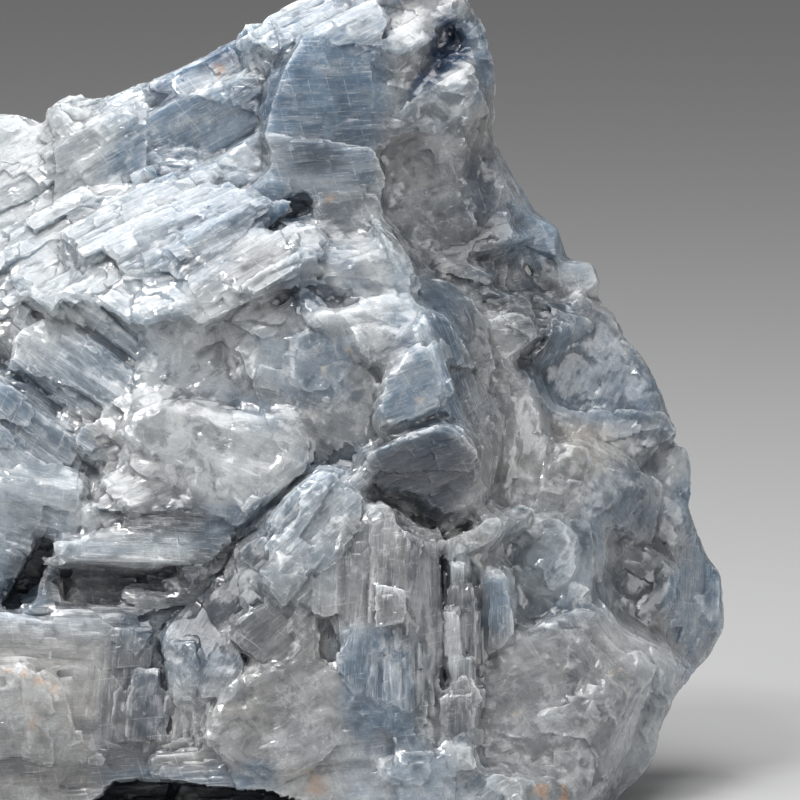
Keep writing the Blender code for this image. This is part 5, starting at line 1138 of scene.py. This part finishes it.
def calcite_material():
    material = bpy.data.materials.new("blue calcite")
    n = Nodes(material)
    place = n.add("ShaderNodeTexCoord").outputs["Object"]
    lattice = n.attribute("lattice", "Vector")
    streaks = n.noise(n.scaled(lattice, (0.12, 0.9, 0.9)), 1.0, 4.0, 0.65)
    fine_streaks = n.noise(n.scaled(lattice, (0.3, 4.0, 4.0)), 1.0, 3.0, 0.7)
    clouds = n.noise(place, 90.0, 5.0, 0.6, 0.6)
    veils = n.noise(place, 330.0, 5.0, 0.68, 0.9)
    frost = n.noise(place, 2600.0, 2.0, 0.75)
    crust = n.noise(place, 420.0, 5.0, 0.70)
    large_tone = n.attribute("large_tone")
    small_tone = n.attribute("small_tone")
    hard = n.attribute("hard")

    # The body, cloudy in places and clear in others; its colour also holds painted shade and painted
    # highlights.
    body = n.attribute("body", "Vector")
    grey = n.add("ShaderNodeRGBToBW")
    n.feed(grey.inputs[0], body)
    pale = n.ramp(grey.outputs[0], 0.02, 0.22, 0.2, 1.0)
    clear = n.mix(0.6, body, SLATE)
    cloudy = n.mix(n.product(pale, 0.55), body, MILK)
    inner = n.total(n.product(clouds, 0.55), n.product(veils, 0.45))
    depth = n.ramp(hard, 0.1, 0.8, 1.0, 0.55)
    colour = n.mix(n.product(n.ramp(inner, 0.49, 0.41), depth), body, clear)
    colour = n.mix(n.product(n.ramp(inner, 0.51, 0.58), depth), colour, cloudy)

    # Rhombs and streaks of other tones.
    colour = n.mix(n.ramp(large_tone, 0.4, 0.0, 0.0, LARGE_TONE_SHARE), colour, clear)
    colour = n.mix(n.ramp(large_tone, 0.6, 1.0, 0.0, LARGE_TONE_SHARE), colour, cloudy)
    colour = n.mix(n.product(n.ramp(small_tone, 0.3, 0.0, 0.0, SMALL_TONE_SHARE), hard), colour, clear)
    colour = n.mix(n.product(n.ramp(streaks, 0.50, 0.64, 0.0, PALE_STREAK_SHARE), hard), colour, cloudy)
    colour = n.mix(n.product(n.ramp(streaks, 0.46, 0.36, 0.0, DARK_STREAK_SHARE), hard), colour, clear)

    # Crusts, fine streaks, cleavage lines and worn edges, all white, and painted shade that darkens the
    # hollows.
    crusty = n.total(n.product(crust, 0.75), n.product(frost, 0.25))
    snow = n.ramp(crusty, 0.535, 0.565)
    glass = n.ramp(crusty, 0.465, 0.435)
    colour = n.mix(n.product(glass, 0.22), colour, clear)
    lines = n.cleavage_lines(lattice, (0.45, 1.3, 1.3), 0.05)
    lines = n.product(lines, n.ramp(veils, 0.48, 0.60, 0.05, LINE_WHITE))
    lines = n.product(lines, n.ramp(hard, 0.0, 1.0, 0.4, 1.0))
    edge = n.product(n.ramp(n.attribute("edge"), 0.2, 1.0), n.ramp(fine_streaks, 0.35, 0.6, 0.3, 1.0))
    white = n.total(n.product(snow, n.ramp(clouds, 0.46, 0.60, 0.05, 0.28)),
                    n.product(n.ramp(fine_streaks, 0.56, 0.68, 0.0, FINE_STREAK_WHITE), hard),
                    lines, n.product(edge, EDGE_WHITE))
    colour = n.mix(n.product(white, pale, clamp=True), colour, FROST)
    # Painted shade: the hollows are darkened toward slate.
    colour = n.mix(n.ramp(n.attribute("ridge"), -0.9, -0.05, HOLLOW_PAINTED_SHADE, 0.0), colour, SLATE)

    rough = n.total(n.ramp(fine_streaks, 0.35, 0.7, 0.05, 0.16), n.product(small_tone, 0.08),
                    n.product(snow, 0.06))
    heights = n.total(n.product(n.product(fine_streaks, hard), 0.20), n.product(crust, 0.10),
                      n.product(frost, 0.04), n.product(n.facets(lattice, (0.55, 1.3, 1.3)), 0.30),
                      n.product(n.facets(lattice, (1.7, 3.6, 3.6)), 0.10))
    bump = n.add("ShaderNodeBump")
    n.feed_all(bump, Strength=0.6, Distance=0.0007, Height=heights)
    n.feed_all(n.shader, Base_Color=colour, Roughness=rough, IOR=1.6, Coat_Weight=0.45, Coat_Roughness=0.07,
               Coat_IOR=1.6, Subsurface_Weight=1.0, Subsurface_Radius=(0.85, 0.95, 1.0),
               Subsurface_Scale=LIGHT_REACH, Normal=bump.outputs["Normal"])
    return material


# The stone

def make_stone():
    solid_points, triangles = mesh_arrays(bpy.data.objects[NODE].data)
    centres = to_face(solid_points)[triangles].mean(axis=1)

    def surface_depth(x, u):
        """How deep the nearest part of the show face is, under (x, u)."""
        near = np.hypot(centres[:, 0] - x, centres[:, 2] - u) < SHOW_GRAIN_SEARCH
        return float(centres[near, 1].min()) if near.any() else -SHOW_GRAIN_DEPTH

    grains = build_grains(surface_depth)
    rng = np.random.default_rng(SPLINTER_SEED)
    corners, quads = splinter_mesh(solid_points, triangles, grains, rng)
    faces = triangles.tolist() + (quads + len(solid_points)).tolist()
    stone = object_from(np.concatenate([solid_points, corners]), faces, "calcite_stone")
    mesh = joined(stone)
    fill_clefts(mesh, solid_points, triangles)
    mesh = keep_outer_shell(joined(stone))
    fine_relief(mesh, grains)
    note_edges_and_hollows(mesh, grains)
    thin = stone.modifiers.new("thin", "DECIMATE")
    thin.ratio = min(1.0, TRIANGLES / (2.0 * len(mesh.polygons)))
    mesh = applied(stone)
    paint(mesh, grains)
    set_vertex_points(mesh, vertex_points(mesh) * MM)
    mesh.shade_smooth()
    mesh.set_sharp_from_angle(angle=SHARP_ANGLE)
    mesh.materials.clear()
    mesh.materials.append(calcite_material())
    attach(stone, "root")
    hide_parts(NODE)


# The studio

# The camera looks straight at the show face, as in the photo: its distance in metres, its lens and sensor
# in millimetres, and the middle of the view on the show face.
CAMERA_DISTANCE = 1.2
CAMERA_LENS = 450.0
CAMERA_SENSOR = 36.0
VIEW_CENTRE = (15.12, 0.0, 47.76)

# The floor, in metres, and the even light from all round.
FLOOR_RADIUS = 9.0
FLOOR_COLOUR = (0.48, 0.48, 0.482, 1.0)
FLOOR_ROUGHNESS = 0.75
ROOM_COLOUR = (0.78, 0.78, 0.785, 1.0)
ROOM_STRENGTH = 0.25

# The lights: their names, places and sizes in metres, and power in watts.
SOFT_LIGHTS = [
    ("top_softbox", (-0.03, -0.06, 0.62), (0.48, 0.48), 3.7),
    ("glint_strip", (-0.22, -0.30, 0.55), (0.22, 0.04), 1.9),
    ("left_softbox", (-0.75, -0.55, 0.42), (0.5, 0.4), 3.2),
    ("right_fill", (0.9, -0.6, 0.25), (0.6, 0.6), 3.2),
]
LIGHTS_AIM = (0.0, 0.0, 0.05)


def make_camera():
    camera = place_in_scene("camera", bpy.data.cameras.new("camera"))
    camera.data.lens = CAMERA_LENS
    camera.data.sensor_width = CAMERA_SENSOR
    camera.data.clip_start = 0.01
    camera.data.clip_end = 60.0
    target = Vector(to_world(np.array(VIEW_CENTRE))) * MM
    back = Vector((0.0, -math.cos(LEAN_BACK), math.sin(LEAN_BACK)))
    camera.location = target + back * CAMERA_DISTANCE
    camera.rotation_euler = (-back).to_track_quat("-Z", "Y").to_euler()
    bpy.context.scene.camera = camera


def make_floor():
    bpy.ops.mesh.primitive_circle_add(vertices=96, radius=FLOOR_RADIUS, fill_type="NGON")
    floor = bpy.context.active_object
    floor.name = "studio_floor"
    material = bpy.data.materials.new("studio floor")
    n = Nodes(material)
    n.feed_all(n.shader, Base_Color=FLOOR_COLOUR, Roughness=FLOOR_ROUGHNESS)
    floor.data.materials.append(material)


def make_lights():
    for name, place, size, power in SOFT_LIGHTS:
        light = bpy.data.lights.new(name, "AREA")
        light.shape = "RECTANGLE"
        light.size, light.size_y = size
        light.energy = power
        lamp = place_in_scene(name, light)
        lamp.location = place
        lamp.rotation_euler = (Vector(LIGHTS_AIM) - Vector(place)).to_track_quat("-Z", "Y").to_euler()
    world = bpy.data.worlds.new("studio")
    bpy.context.scene.world = world
    world.use_nodes = True
    background = world.node_tree.nodes["Background"]
    background.inputs["Color"].default_value = ROOM_COLOUR
    background.inputs["Strength"].default_value = ROOM_STRENGTH


make_stone()
make_camera()
make_floor()
make_lights()
bpy.context.scene.view_settings.view_transform = "Standard"
